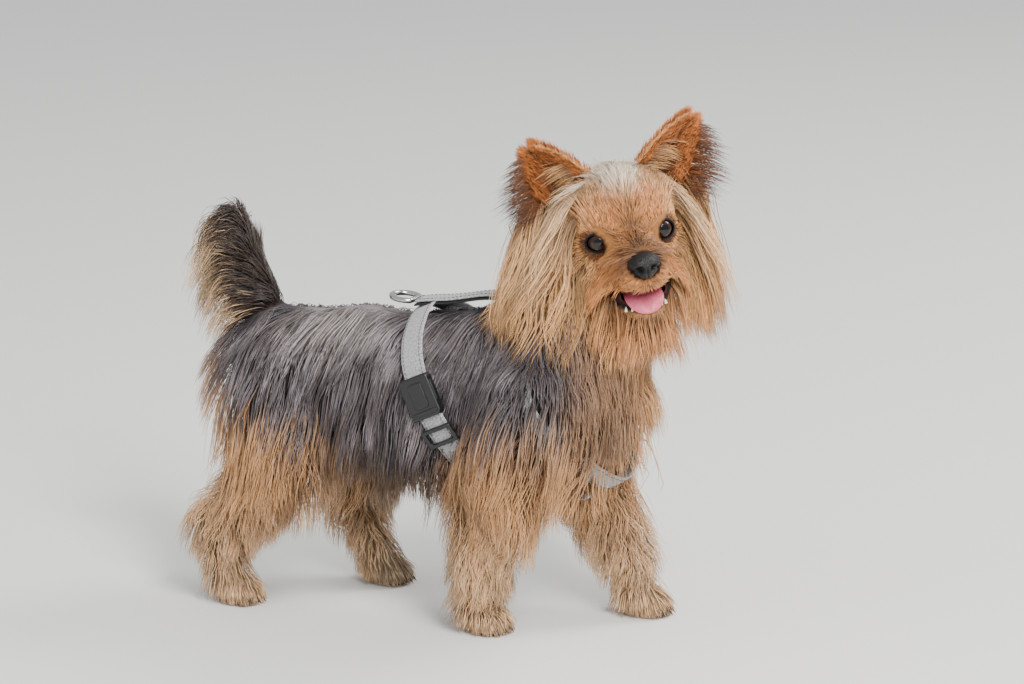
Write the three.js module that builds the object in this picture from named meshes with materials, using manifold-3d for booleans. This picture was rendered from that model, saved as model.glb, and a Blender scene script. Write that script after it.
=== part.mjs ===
// A Yorkshire terrier, life size, standing on four feet with its head turned and its tail up, in a
// webbing walking harness. Millimetres, +Z up. The body faces +X and the left side is +Y. The feet
// stand on Z = 0, and the origin is below the middle of the whole model's box.
//
// Each node of flesh is a body core wrapped on a field of rounded muscles. The long coat is made of
// flat tapered locks that are rooted in the core, fall with gravity and lie on whatever is below.

import * as THREE from "three";
import { mergeVertices } from "three/addons/utils/BufferGeometryUtils.js";
import Module from "manifold-3d";

const wasm = await Module();
wasm.setup();
const { Manifold, Mesh: SolidMesh } = wasm;

// Driving dimensions of the dog without its coat

const WITHERS = 184; // height of the back over the shoulders
const CHEST_R = 41; // half depth of the chest
const LOIN_R = 33;
const NECK_R = 27;
const SKULL_R = 30;
const MUZZLE_R = 11.5; // at the nose end
const EYE_R = 8;
const EYE_SPREAD = 20; // from the middle plane to each eye
const PAW_R = 10.5;
const PAW_LENGTH = 27;

// Clearances and thicknesses

const GAP = 0.34; // between two nodes that meet
const FLOOR_CLEAR = 2.2; // the lowest a lock's middle line may come to the floor
const WEB_WIDTH = 15; // harness webbing
const WEB_THICK = 2.2;

const v = (x, y, z) => new THREE.Vector3(x, y, z);
const DOWN = v(0, 0, -1);
const UP = v(0, 0, 1);
const clamp = THREE.MathUtils.clamp;
const lerp = THREE.MathUtils.lerp;
const rad = THREE.MathUtils.degToRad;

// The same draws each time: a small seeded generator

let seed = 20251;
const draw = () => {
  seed = (seed * 16807) % 2147483647;
  return seed / 2147483647;
};
const vary = (value, share) => value * (1 + share * (2 * draw() - 1));

// The head's own frame: f points out of the face, l to the dog's left, u up. It is turned to the
// right of the body and rolled a little.

const HEAD_TURN = rad(-54);
const HEAD_ROLL = rad(10);
const HEAD_NOD = rad(1);
const SKULL = v(137, -1, 240);
const headFrame = new THREE.Matrix4()
  .makeTranslation(SKULL.x, SKULL.y, SKULL.z)
  .multiply(new THREE.Matrix4().makeRotationZ(HEAD_TURN))
  .multiply(new THREE.Matrix4().makeRotationY(HEAD_NOD))
  .multiply(new THREE.Matrix4().makeRotationX(HEAD_ROLL));
const head = (f, l, u) => v(f, l, u).applyMatrix4(headFrame);
const headDirection = (f, l, u) => v(f, l, u).transformDirection(headFrame);

// Joints of the skeleton, right side (-Y) first

const SHOULDERS = [v(92, -27, 132), v(92, 34, 134)];
const ELBOWS = [v(75, -33, 93), v(92, 42, 96)];
const WRISTS = [v(64, -30, 36), v(120, 44, 38)];
const FORE_FEET = [v(63, -29, 0), v(131, 43, 0)];
const HIPS = [v(-74, -22, 142), v(-70, 22, 142)];
const STIFLES = [v(-60, -34, 94), v(-36, 34, 96)];
const HOCKS = [v(-107, -38, 48), v(-58, 37, 50)];
const HIND_FEET = [v(-96, -38, 0), v(-36, 37, 0)];
const TAIL_ROOT = v(-92, 0, 166);

// A muscle is a rounded bar from a to b. flat narrows it from side to side.

const muscle = (a, b, ra, rb, flat = 1) => ({ a, b, ra, rb, flat });
const ball = (centre, r, flat = 1) => muscle(centre, centre, r, r, flat);

function barDistance(p, m) {
  const ax = m.b.x - m.a.x;
  const ay = (m.b.y - m.a.y) / m.flat;
  const az = m.b.z - m.a.z;
  const px = p.x - m.a.x;
  const py = (p.y - m.a.y) / m.flat;
  const pz = p.z - m.a.z;
  const along = ax * ax + ay * ay + az * az;
  const t = along > 0 ? clamp((px * ax + py * ay + pz * az) / along, 0, 1) : 0;
  return Math.hypot(px - t * ax, py - t * ay, pz - t * az) - lerp(m.ra, m.rb, t);
}

function smoothMin(a, b, blend) {
  const h = Math.max(blend - Math.abs(a - b), 0) / blend;
  return Math.min(a, b) - (h * h * blend) / 4;
}

function legMuscles(joints, radii) {
  return joints.slice(1).map((b, i) => muscle(joints[i], b, radii[i], radii[i + 1]));
}

const PASTERN = v(-5, 0, 22); // from the middle of a foot to the end of its leg
const pastern = (foot) => foot.clone().add(PASTERN);

// Each part of the flesh: its muscles, the middle line that its core is wrapped round, and how
// thick the undercoat of the core is on the skin

const flesh = {
  torso: {
    muscles: [
      muscle(v(-80, 0, 139), v(-25, 0, 141), LOIN_R, LOIN_R),
      muscle(v(-25, 0, 141), v(30, 2, 136), LOIN_R, CHEST_R - 1),
      muscle(v(30, 2, 136), v(82, 5, 132), CHEST_R - 1, CHEST_R, 0.95),
      muscle(v(60, 3, WITHERS - 23), v(86, 5, WITHERS - 24), 23, 22),
      muscle(v(86, 5, 130), v(112, 8, 116), 32, 26),
    ],
    line: [v(-80, 0, 140), v(-25, 0, 142), v(30, 2, 138), v(70, 4, 136), v(104, 7, 124)],
    blend: 14,
    coat: 5,
    rings: 15,
    spokes: 15,
  },
  neck: {
    muscles: [
      muscle(v(84, 4, 146), v(108, 3, 190), 31, NECK_R),
      muscle(v(108, 3, 190), v(128, 1, 226), NECK_R, NECK_R - 2),
      muscle(v(104, 7, 132), v(116, 3, 178), 24, 20),
    ],
    line: [v(88, 5, 148), v(108, 4, 186), v(126, 1, 220)],
    blend: 10,
    coat: 4,
    rings: 9,
    spokes: 13,
  },
  head: {
    muscles: [
      muscle(head(-9, 0, 4), head(6, 0, 5), SKULL_R, SKULL_R - 1),
      ball(head(15, 9, 8), 17),
      ball(head(15, -9, 8), 17),
      ball(head(4, 17, -11), 16),
      ball(head(4, -17, -11), 16),
      muscle(head(20, 0, -8), head(50, 0, -11), 16, MUZZLE_R),
      muscle(head(26, 9, -15), head(49, 4, -17), 8.5, 6.5),
      muscle(head(26, -9, -15), head(49, -4, -17), 8.5, 6.5),
    ],
    line: [head(-12, 0, 2), head(8, 0, 1), head(30, 0, -7), head(50, 0, -12)],
    blend: 7,
    coat: 1.5,
    rings: 19,
    spokes: 17,
  },
  jaw: {
    muscles: [
      muscle(head(4, 4, -24), head(28, 6, -36), 13, 8),
      muscle(head(4, -4, -24), head(28, -6, -36), 13, 8),
      muscle(head(28, 6, -36), head(42, 3, -41), 8, 5.5),
      muscle(head(28, -6, -36), head(42, -3, -41), 8, 5.5),
    ],
    line: [head(4, 0, -25), head(26, 0, -35), head(43, 0, -41)],
    blend: 6,
    coat: 1.5,
    rings: 12,
    spokes: 14,
  },
  tail: {
    muscles: [
      muscle(TAIL_ROOT, v(-108, 0, 198), 10, 8),
      muscle(v(-108, 0, 198), v(-116, 0, 222), 8, 6),
    ],
    line: [TAIL_ROOT, v(-108, 0, 198), v(-116, 0, 222)],
    blend: 6,
    coat: 5,
    rings: 9,
    spokes: 10,
  },
};

const SIDES = ["right", "left"];
SIDES.forEach((side, i) => {
  const foreTop = [SHOULDERS[i], ELBOWS[i], WRISTS[i]];
  const hindTop = [HIPS[i], STIFLES[i], HOCKS[i]];
  flesh["foreleg_" + side] = {
    muscles: [
      ...legMuscles([...foreTop, pastern(FORE_FEET[i])], [21, 14, 8, 7.5]),
    ],
    line: [...foreTop, pastern(FORE_FEET[i])],
    blend: 8,
    coat: 4,
    rings: 12,
    spokes: 8,
  };
  flesh["hindleg_" + side] = {
    muscles: [
      muscle(HIPS[i], STIFLES[i], 30, 17),
      ...legMuscles([STIFLES[i], HOCKS[i], pastern(HIND_FEET[i])], [16, 8.5, 7.5]),
    ],
    line: [...hindTop, pastern(HIND_FEET[i])],
    blend: 9,
    coat: 4,
    rings: 13,
    spokes: 8,
  };
});

function partDistance(p, part) {
  return part.muscles
    .map((m) => barDistance(p, m))
    .reduce((a, b) => smoothMin(a, b, part.blend));
}

// The distance to the cores of all parts. The part that a lock grows from keeps its own reach, and
// the others are taken as thicker by the coat that lies on them.

const CORE_BLEND = 6;
function bodyDistance(p, own, coatOnOthers) {
  let nearest = 1e9;
  for (const [name, part] of Object.entries(flesh)) {
    const reach = part.coat + (name === own ? 0 : coatOnOthers);
    nearest = smoothMin(nearest, partDistance(p, part) - reach, CORE_BLEND);
  }
  return nearest;
}

function slope(p, distance) {
  const e = 0.5;
  return v(
    distance(v(p.x + e, p.y, p.z)) - distance(v(p.x - e, p.y, p.z)),
    distance(v(p.x, p.y + e, p.z)) - distance(v(p.x, p.y - e, p.z)),
    distance(v(p.x, p.y, p.z + e)) - distance(v(p.x, p.y, p.z - e)),
  ).normalize();
}

// Walks out from a point inside a field to its surface

function reachSurface(from, direction, distance) {
  const stride = 1.5;
  const limit = 120;
  let near = 0;
  while (near < limit && distance(from.clone().addScaledVector(direction, near + stride)) < 0)
    near += stride;
  let far = near + stride;
  for (let i = 0; i < 12; i++) {
    const middle = (near + far) / 2;
    if (distance(from.clone().addScaledVector(direction, middle)) < 0) near = middle;
    else far = middle;
  }
  return from.clone().addScaledVector(direction, near);
}

// A direction round a part's middle line. along runs from 0 at one end to 1 at the other, and the
// ends are rounded off by tilting the direction.

const END_SHARE = 0.16;
for (const part of Object.values(flesh)) part.curve = new THREE.CatmullRomCurve3(part.line);

function rayFrom(part, along, turn) {
  const t = clamp((along - END_SHARE) / (1 - 2 * END_SHARE), 0, 1);
  const tangent = part.curve.getTangentAt(t);
  const reference = Math.abs(tangent.z) > 0.8 ? v(-1, 0, 0) : UP;
  const out = reference.clone().addScaledVector(tangent, -reference.dot(tangent)).normalize();
  const side = tangent.clone().cross(out);
  let tilt = 0;
  if (along < END_SHARE) tilt = (along / END_SHARE - 1) * (Math.PI / 2);
  if (along > 1 - END_SHARE) tilt = (1 - (1 - along) / END_SHARE) * (Math.PI / 2);
  const direction = out
    .multiplyScalar(Math.cos(turn) * Math.cos(tilt))
    .addScaledVector(side, Math.sin(turn) * Math.cos(tilt))
    .addScaledVector(tangent, Math.sin(tilt));
  return { from: part.curve.getPointAt(t), direction: direction.normalize() };
}

function pointOn(part, along, turn, extra = 0) {
  const { from, direction } = rayFrom(part, along, turn);
  return reachSurface(from, direction, (p) => partDistance(p, part) - part.coat - extra);
}

// Closed three.js geometry to a solid and back

function solid(geometry) {
  const bare = new THREE.BufferGeometry().setAttribute("position", geometry.attributes.position);
  if (geometry.index) bare.setIndex(geometry.index);
  const merged = mergeVertices(bare, 1e-4);
  const triVerts = new Uint32Array(merged.index.array);
  const vertProperties = merged.attributes.position.array;
  const made = new Manifold(new SolidMesh({ numProp: 3, vertProperties, triVerts }));
  if (made.volume() > 0) return made;
  for (let i = 0; i < triVerts.length; i += 3)
    [triVerts[i + 1], triVerts[i + 2]] = [triVerts[i + 2], triVerts[i + 1]];
  return new Manifold(new SolidMesh({ numProp: 3, vertProperties, triVerts }));
}

function geometryOf(made) {
  const mesh = made.getMesh();
  return new THREE.BufferGeometry()
    .setAttribute("position", new THREE.BufferAttribute(mesh.vertProperties, 3))
    .setIndex(new THREE.BufferAttribute(mesh.triVerts, 1));
}

// The largest closed surface, without the slivers that cuts leave along their edges

const TOUCH = 0.0005; // cubic millimetres shared by two parts
const SLIVER = 0.02;
function largest(made) {
  const biggest = (whole) => whole.decompose().reduce((a, b) => (b.volume() > a.volume() ? b : a));
  return biggest(biggest(made).simplify(SLIVER));
}

function reshape(geometry, place) {
  const position = geometry.attributes.position;
  const p = v(0, 0, 0);
  for (let i = 0; i < position.count; i++) {
    place(p.fromBufferAttribute(position, i), i);
    position.setXYZ(i, p.x, p.y, p.z);
  }
  return geometry;
}

// A core: the rows and columns of a globe thrown onto the part's surface

function core(part, extra = 0) {
  const globe = new THREE.SphereGeometry(1, part.spokes, part.rings);
  const at = reshape(globe, (p, i) => {
    const row = Math.floor(i / (part.spokes + 1));
    const isPole = row === 0 || row === part.rings;
    const column = isPole ? 0 : (i % (part.spokes + 1)) % part.spokes;
    const turn = (column / part.spokes) * 2 * Math.PI;
    p.copy(pointOn(part, row / part.rings, turn, extra));
  });
  return solid(at);
}

// A flat tapered lock: three-sided sections along a path, its broad side on the body

function lock(path, normals, width, thick, extra = 0) {
  const last = path.length - 1;
  const position = [];
  const tangentAt = (i) =>
    path[Math.min(i + 1, last)].clone().sub(path[Math.max(i - 1, 0)]).normalize();
  for (let i = 0; i < last; i++) {
    const t = i / last;
    const tangent = tangentAt(i);
    const across = tangent.clone().cross(normals[i]).normalize();
    const out = across.clone().cross(tangent).normalize();
    const swell = 0.72 + 1.1 * t - 1.55 * t * t;
    const half = (width * swell) / 2 + extra;
    const low = -(thick * (1 - 0.5 * t)) / 2 - extra;
    const high = (thick * (1 - 0.5 * t)) / 2 + extra * 2;
    for (const [s, h] of [[-half, low], [half, low], [0, high]])
      position.push(path[i].clone().addScaledVector(across, s).addScaledVector(out, h));
  }
  const tip = path[last].clone().addScaledVector(tangentAt(last), extra * 3);
  position.push(tip);
  const index = [0, 1, 2];
  for (let i = 0; i + 1 < last; i++)
    for (let k = 0; k < 3; k++) {
      const a = 3 * i + k;
      const b = 3 * i + ((k + 1) % 3);
      index.push(a, a + 3, b, b, a + 3, b + 3);
    }
  const end = 3 * (last - 1);
  index.push(end, 3 * last, end + 1, end + 1, 3 * last, end + 2, end + 2, 3 * last, end);
  const geometry = new THREE.BufferGeometry();
  geometry.setAttribute(
    "position",
    new THREE.Float32BufferAttribute(position.flatMap((p) => [p.x, p.y, p.z]), 3),
  );
  return solid(geometry.setIndex(index));
}

// The fall of one lock from its root: it starts along the lie, droops, and is pushed out of the body

const STATIONS = 4;
const SINK = 3;
function fall(name, root, comb) {
  const near = (p) => bodyDistance(p, name, comb.over);
  let normal = slope(root, near);
  const start = comb.lie.clone().addScaledVector(normal, -comb.lie.dot(normal)).normalize();
  let heading = start.clone().addScaledVector(normal, comb.lift).normalize();
  const path = [root.clone().addScaledVector(normal, -SINK)];
  const normals = [normal.clone()];
  const step = comb.length / STATIONS;
  let p = root.clone();
  for (let i = 1; i <= STATIONS; i++) {
    const t = i / STATIONS;
    heading.lerp(DOWN, comb.droop).normalize();
    p = p.clone().addScaledVector(heading, step);
    const clear = comb.rise * (0.45 + 0.75 * t);
    for (let k = 0; k < 3; k++) {
      const d = near(p);
      if (d < clear) p.addScaledVector(slope(p, near), clear - d);
    }
    p.z = Math.max(p.z, FLOOR_CLEAR);
    normal = slope(p, near);
    heading = p.clone().sub(path.at(-1)).normalize();
    path.push(p);
    normals.push(normal.clone());
  }
  return { path, normals, width: comb.width, thick: comb.thick };
}

// Whether a point on one part lies in or close under another part

const BURIED = 2;
function isBuried(p, own) {
  return Object.entries(flesh).some(
    ([name, part]) => name !== own && partDistance(p, part) < part.coat + BURIED,
  );
}

// Roots spread evenly over a part: a candidate is kept if it is clear of the ones before it, with
// more room along the lie than across it

const SPACING = 1.13; // room kept round each root, in lock widths and row gaps
function combed(name, comb) {
  const part = flesh[name];
  const kept = [];
  const candidates = [];
  const rows = 40;
  const columns = 48;
  for (let i = 1; i < rows; i++)
    for (let k = 0; k < columns; k++)
      candidates.push(pointOn(part, (i + 0.6 * draw()) / rows, ((k + 0.6 * draw()) / columns) * 2 * Math.PI));
  candidates.sort((a, b) => b.z - a.z);
  for (const root of candidates) {
    const style = comb(root);
    if (!style || isBuried(root, name)) continue;
    const crowded = kept.some((other) => {
      const gap = root.clone().sub(other.root);
      const along = gap.dot(other.lie);
      const across = gap.addScaledVector(other.lie, -along).length();
      return Math.hypot(along / other.rowGap, across / other.width) < SPACING;
    });
    if (crowded) continue;
    style.width = vary(style.width, 0.12);
    style.length = vary(style.length, 0.1);
    style.rise = vary(style.rise, 0.2);
    kept.push({ root, ...style, lie: style.lie.clone().normalize() });
  }
  return kept.map((k) => fall(name, k.root, k));
}

// Ellipsoids and cones placed in the head's or the body's frame

function ellipsoid(centre, size, columns = 14, rows = 10, turn = headFrame) {
  const geometry = new THREE.SphereGeometry(1, columns, rows);
  const axes = new THREE.Matrix4().extractRotation(turn);
  const place = new THREE.Matrix4().makeTranslation(centre.x, centre.y, centre.z);
  place.multiply(axes).multiply(new THREE.Matrix4().makeScale(size.x, size.y, size.z));
  return solid(closeGlobe(geometry, columns, rows).applyMatrix4(place));
}

// The seam and the poles of a sphere's grid get exactly the same points, so that it closes

function closeGlobe(geometry, columns, rows) {
  const position = geometry.attributes.position;
  for (let row = 0; row <= rows; row++) {
    const first = row * (columns + 1);
    for (let column = 0; column <= columns; column++) {
      const isPole = row === 0 || row === rows;
      if (!isPole && column < columns) continue;
      position.setXYZ(
        first + column,
        position.getX(first),
        position.getY(first),
        position.getZ(first),
      );
    }
  }
  return geometry;
}

function cone(root, tip, r, sides = 6) {
  const length = tip.clone().sub(root).length();
  const geometry = new THREE.ConeGeometry(r, length, sides);
  const turn = new THREE.Quaternion().setFromUnitVectors(UP, tip.clone().sub(root).normalize());
  const middle = root.clone().lerp(tip, 0.5);
  geometry.rotateX(Math.PI / 2).applyQuaternion(turn).translate(middle.x, middle.y, middle.z);
  return solid(geometry);
}

function block(centre, size, turn) {
  const geometry = new THREE.BoxGeometry(size.x, size.y, size.z);
  if (turn) geometry.applyMatrix4(turn);
  return solid(geometry.translate(centre.x, centre.y, centre.z));
}

// A sheet of even thickness over a grid of points: u across, w up. Both faces are split alike.

function sheet(columns, rows, at, thick) {
  const points = [];
  const e = 0.02;
  for (const face of [1, -1])
    for (let row = 0; row <= rows; row++)
      for (let column = 0; column <= columns; column++) {
        const u = column / columns;
        const w = row / rows;
        const du = at(Math.min(u + e, 1), w).sub(at(Math.max(u - e, 0), w));
        const dw = at(u, Math.min(w + e, 1)).sub(at(u, Math.max(w - e, 0)));
        const half = (face * thick(u, w)) / 2;
        points.push(at(u, w).addScaledVector(du.cross(dw).normalize(), half));
      }
  const wide = columns + 1;
  const back = wide * (rows + 1);
  const index = [];
  const quad = (a, b, c, d) => index.push(a, b, c, a, c, d);
  for (let row = 0; row < rows; row++)
    for (let column = 0; column < columns; column++) {
      const a = row * wide + column;
      quad(a, a + 1, a + wide + 1, a + wide);
      index.push(back + a, back + a + wide + 1, back + a + 1);
      index.push(back + a, back + a + wide, back + a + wide + 1);
    }
  const edge = [];
  for (let column = 0; column < columns; column++) edge.push(column);
  for (let row = 0; row < rows; row++) edge.push(row * wide + columns);
  for (let column = columns; column > 0; column--) edge.push(rows * wide + column);
  for (let row = rows; row > 0; row--) edge.push(row * wide);
  edge.forEach((a, i) => {
    const b = edge[(i + 1) % edge.length];
    quad(a, back + a, back + b, b);
  });
  const geometry = new THREE.BufferGeometry();
  geometry.setAttribute(
    "position",
    new THREE.Float32BufferAttribute(points.flatMap((p) => [p.x, p.y, p.z]), 3),
  );
  return solid(geometry.setIndex(index));
}

// Webbing: a flat band with its broad face on the body along a path, closed where it is a loop

function band(path, outs, isLoop, grow = 0) {
  const half = WEB_WIDTH / 2 + grow;
  const thick = WEB_THICK / 2 + grow;
  const count = path.length;
  const position = [];
  for (let i = 0; i < count; i++) {
    const next = path[isLoop ? (i + 1) % count : Math.min(i + 1, count - 1)];
    const before = path[isLoop ? (i + count - 1) % count : Math.max(i - 1, 0)];
    const tangent = next.clone().sub(before).normalize();
    const across = tangent.clone().cross(outs[i]).normalize();
    const out = across.clone().cross(tangent);
    const end = isLoop ? 0 : (i === 0 ? -grow : i === count - 1 ? grow : 0);
    for (const [s, h] of [[-half, -thick], [half, -thick], [half, thick], [-half, thick]])
      position.push(
        path[i].clone().addScaledVector(across, s).addScaledVector(out, h).addScaledVector(tangent, end),
      );
  }
  const index = [];
  const spans = isLoop ? count : count - 1;
  for (let i = 0; i < spans; i++)
    for (let k = 0; k < 4; k++) {
      const a = 4 * i + k;
      const b = 4 * i + ((k + 1) % 4);
      const c = (4 * (i + 1) + ((k + 1) % 4)) % (4 * count);
      const d = (4 * (i + 1) + k) % (4 * count);
      index.push(a, d, b, b, d, c);
    }
  if (!isLoop) {
    const z = 4 * (count - 1);
    index.push(0, 1, 2, 0, 2, 3, z, z + 2, z + 1, z, z + 3, z + 2);
  }
  const geometry = new THREE.BufferGeometry();
  geometry.setAttribute(
    "position",
    new THREE.Float32BufferAttribute(position.flatMap((p) => [p.x, p.y, p.z]), 3),
  );
  return solid(geometry.setIndex(index));
}

// The room outside a band, which no lock covers
const roomOver = (path, outs, isLoop) =>
  Manifold.union(
    [0, 3, 6].map((lift) => {
      const raised = path.map((p, i) => p.clone().addScaledVector(outs[i], lift));
      return band(raised, outs, isLoop, GAP);
    }),
  );

// The harness lies on the undercoat. Each loop is a turn of rays in a slanted plane.

const WEB_LIFT = 4.5; // from the cores to the middle of the webbing

function loopPath(centre, upward, count, onto) {
  const path = [];
  const outs = [];
  for (let i = 0; i < count; i++) {
    const turn = (i / count) * 2 * Math.PI;
    const direction = upward.clone().multiplyScalar(Math.cos(turn)).add(v(0, -Math.sin(turn), 0));
    path.push(reachSurface(centre, direction.normalize(), onto));
    outs.push(direction);
  }
  return { path, outs };
}

const GIRTH_CENTRE = v(36, 2, 138);
const GIRTH_SLANT = v(-0.43, 0, 0.9); // from the belly up to the back
const NECK_TOP = v(72, 3, 184);
const STERNUM = v(124, 8, 92);
const CHEST_LINE = [v(60, 4, 110), v(85, 6, 110), v(106, 7, 112)];

const onTorso = (p) => partDistance(p, flesh.torso) - flesh.torso.coat - WEB_LIFT;
const onBody = (p) => bodyDistance(p, "", 0) - WEB_LIFT;
const LOOP_STEPS = 24;

const girth = loopPath(GIRTH_CENTRE, GIRTH_SLANT, LOOP_STEPS, onTorso);
const neckLoop = loopPath(
  NECK_TOP.clone().lerp(STERNUM, 0.5),
  NECK_TOP.clone().sub(STERNUM).normalize(),
  LOOP_STEPS,
  onBody,
);

function linePath(from, to, count, inside, lift) {
  const path = [];
  const outs = [];
  for (let i = 0; i < count; i++) {
    const t = i / (count - 1);
    const aim = from.clone().lerp(to, t);
    const start = inside(t);
    const direction = aim.sub(start).normalize();
    path.push(reachSurface(start, direction, (p) => bodyDistance(p, "", 0) - lift));
    outs.push(direction);
  }
  return { path, outs };
}

const SPINE_LIFT = 7.5;
const spineAt = (t) => v(lerp(12, 62, t), 2, 140);
const backLine = linePath(v(8, 1, 186), v(66, 3, 196), 8, spineAt, SPINE_LIFT);
const chestCurve = new THREE.CatmullRomCurve3(CHEST_LINE);
const inChest = (t) => chestCurve.getPoint(t);
const chestLine = linePath(v(58, 4, 60), v(118, 8, 60), 8, inChest, WEB_LIFT + 3);

// What sits on the straps has a frame: x across the strap, y out of the body, z along the strap

function strapFrame(loop, place, lift) {
  const i = Math.floor(place);
  const at = loop.path[i].clone().lerp(loop.path[i + 1], place - i);
  const along = loop.path[i + 1].clone().sub(loop.path[i]).normalize();
  const across = along.clone().cross(loop.outs[i]).normalize();
  const out = across.clone().cross(along);
  at.addScaledVector(out, lift);
  return new THREE.Matrix4().makeBasis(across, out, along).setPosition(at);
}

function plate(outline, holes, thick, place) {
  outline.holes = holes;
  const shape = { depth: thick, bevelEnabled: false, curveSegments: 2 };
  const geometry = new THREE.ExtrudeGeometry(outline, shape);
  geometry.translate(0, 0, -thick / 2).rotateX(-Math.PI / 2);
  return solid(geometry.applyMatrix4(place));
}

function roundedBox(width, length, corner) {
  const shape = new THREE.Shape();
  const x = width / 2;
  const y = length / 2;
  shape.moveTo(x - corner, -y);
  shape.absarc(x - corner, -y + corner, corner, -Math.PI / 2, 0);
  shape.absarc(x - corner, y - corner, corner, 0, Math.PI / 2);
  shape.absarc(-x + corner, y - corner, corner, Math.PI / 2, Math.PI);
  shape.absarc(-x + corner, -y + corner, corner, Math.PI, 1.5 * Math.PI);
  return shape;
}

const BUCKLE_AT = 5.85; // steps of the girth loop down the right side
const BUCKLE = { width: 20, length: 25, thick: 6.6 };
const SLIDER = { width: 20, length: 12, bar: 2.4, thick: 2.2 };

function buckle(grow, lift = 0) {
  const place = strapFrame(girth, BUCKLE_AT, 0.8 + lift);
  const body = roundedBox(BUCKLE.width + 2 * grow, BUCKLE.length + 2 * grow, 3);
  const made = plate(body, [], BUCKLE.thick + 2 * grow, place);
  if (grow) return made;
  const notch = (side) => {
    const at = v((side * BUCKLE.width) / 2, 0, -1).applyMatrix4(place);
    return ellipsoid(at, v(2.4, 8, 4.6), 8, 6, place);
  };
  return made.subtract(notch(1)).subtract(notch(-1));
}

function slider(loop, at, grow) {
  const place = strapFrame(loop, at, WEB_THICK / 2 + SLIDER.thick / 2 + GAP);
  const outline = roundedBox(SLIDER.width + 2 * grow, SLIDER.length + 2 * grow, 1.6);
  const window = roundedBox(SLIDER.width - 2 * SLIDER.bar, SLIDER.length - 2 * SLIDER.bar, 1);
  return plate(outline, grow ? [] : [window], SLIDER.thick + 2 * grow, place);
}

const RING = { r: 8.5, wire: 1.7 };
function ring(grow) {
  const wire = RING.wire + grow;
  const place = new THREE.Matrix4().makeTranslation(-1, 1, WITHERS + 6.5);
  place.multiply(new THREE.Matrix4().makeRotationY(rad(6)));
  const hoop = closeTorus(new THREE.TorusGeometry(RING.r, wire, 5, 16), 5, 16);
  return solid(hoop.applyMatrix4(place));
}

function closeTorus(geometry, radial, tubular) {
  const position = geometry.attributes.position;
  const wide = tubular + 1;
  for (let j = 0; j <= radial; j++)
    for (let i = 0; i <= tubular; i++) {
      const from = (j % radial) * wide + (i % tubular);
      const to = j * wide + i;
      position.setXYZ(to, position.getX(from), position.getY(from), position.getZ(from));
    }
  return geometry;
}

// The face: eyes in their sockets, nose with nostrils, mouth, tongue, teeth and the two ears

const eyeCentre = (side) => head(20.5, side * EYE_SPREAD, 0);
const MOUTH = { centre: head(26, 0, -30), size: v(28, 22, 8) };
const NOSE = { centre: head(56, 0, -8), size: v(8, 9, 6.6) };
const LID = 1.5;
const TONGUE_ROOM = 2.4; // gaps kept round the tongue

const eye = (side, grow) => {
  const r = EYE_R + grow;
  return ellipsoid(eyeCentre(side), v(r, r, r), 12, 8);
};

// Lids: a thin shell round the eye with an almond opening turned a little outwards

function lids(side) {
  const r = EYE_R + LID;
  const aim = new THREE.Matrix4().makeRotationZ(side * rad(14));
  const turn = headFrame.clone().multiply(aim);
  const front = v(EYE_R, 0, 0).applyMatrix4(aim);
  const at = head(20.5 + front.x, side * EYE_SPREAD + front.y, 0);
  const shell = ellipsoid(eyeCentre(side), v(r, r, r), 14, 10);
  return shell.subtract(ellipsoid(at, v(6, 6.6, 5.2), 14, 8, turn));
}

function nose(grow) {
  const size = NOSE.size.clone().addScalar(grow);
  const made = ellipsoid(NOSE.centre, size, 12, 8);
  if (grow) return made;
  const nostril = (side) => ellipsoid(head(63.4, side * 4.3, -8.6), v(3.6, 2.1, 1.7), 8, 6);
  const slit = (side) => ellipsoid(head(61.5, side * 7.2, -8.2), v(4.2, 2.2, 0.9), 7, 5);
  const groove = ellipsoid(head(64.6, 0, -12), v(2, 0.8, 4.5), 6, 6);
  const cuts = Manifold.union([nostril(1), nostril(-1), slit(1), slit(-1), groove]);
  return made.subtract(cuts);
}

function tongue(grow) {
  const spine = new THREE.CatmullRomCurve3([v(12, 0, -27), v(27, 0, -28), v(40, 0, -32), v(49, 0, -40)]);
  const at = (u, w) => {
    const p = spine.getPoint(w).addScaledVector(spine.getTangent(w), (2 * w - 1) * grow);
    const across = 2 * u - 1;
    const rounding = Math.sqrt(Math.max(0.02, 1 - Math.pow(Math.max(0, (w - 0.62) / 0.4), 2)));
    const groove = 1.6 * Math.exp(-Math.pow(across / 0.35, 2)) + 1.6 * across * across;
    return head(p.x, across * (10 * rounding + grow), p.z - groove);
  };
  return sheet(6, 7, at, () => 3 + 2 * grow);
}

const tooth = (side, grow) =>
  cone(head(38, side * 11.2, -37.5), head(37.5, side * 10.8, -28.5 + grow), 1.9 + grow, 7);

// An ear: a tall cup of skin, open to the front and outwards

const EAR_BASE = (side) => head(-5, side * 22, 19);
const EAR_TIPS = { 1: head(-5, 50, 52), [-1]: head(-10, -43, 51) };
function earFrame(side) {
  const base = EAR_BASE(side);
  const tip = EAR_TIPS[side];
  const up = tip.clone().sub(base).normalize();
  const front = headDirection(1, side * 0.38, 0);
  front.addScaledVector(up, -front.dot(up)).normalize();
  return { base, up, front, across: up.clone().cross(front), height: tip.distanceTo(base) };
}

function earPoint(side, u, w, grow) {
  const { base, up, front, across, height } = earFrame(side);
  const open = 2 * u - 1;
  const half = 17.5 * Math.pow(1 - w, 0.75) * (0.86 + 0.55 * w) + 0.6 + grow;
  const depth = 13 * (1 - w) * (0.7 + 0.6 * w);
  return base
    .clone()
    .addScaledVector(up, (height + grow) * w + 2 * (1 - w) * open * open)
    .addScaledVector(across, half * open)
    .addScaledVector(front, -depth * (1 - open * open));
}

const ear = (side, grow) =>
  sheet(7, 7, (u, w) => earPoint(side, u, w, grow), (u, w) => lerp(2.6, 1.3, w) + 2 * grow);

// A paw: pad, four toes and their claws, cut flat where it stands

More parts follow.
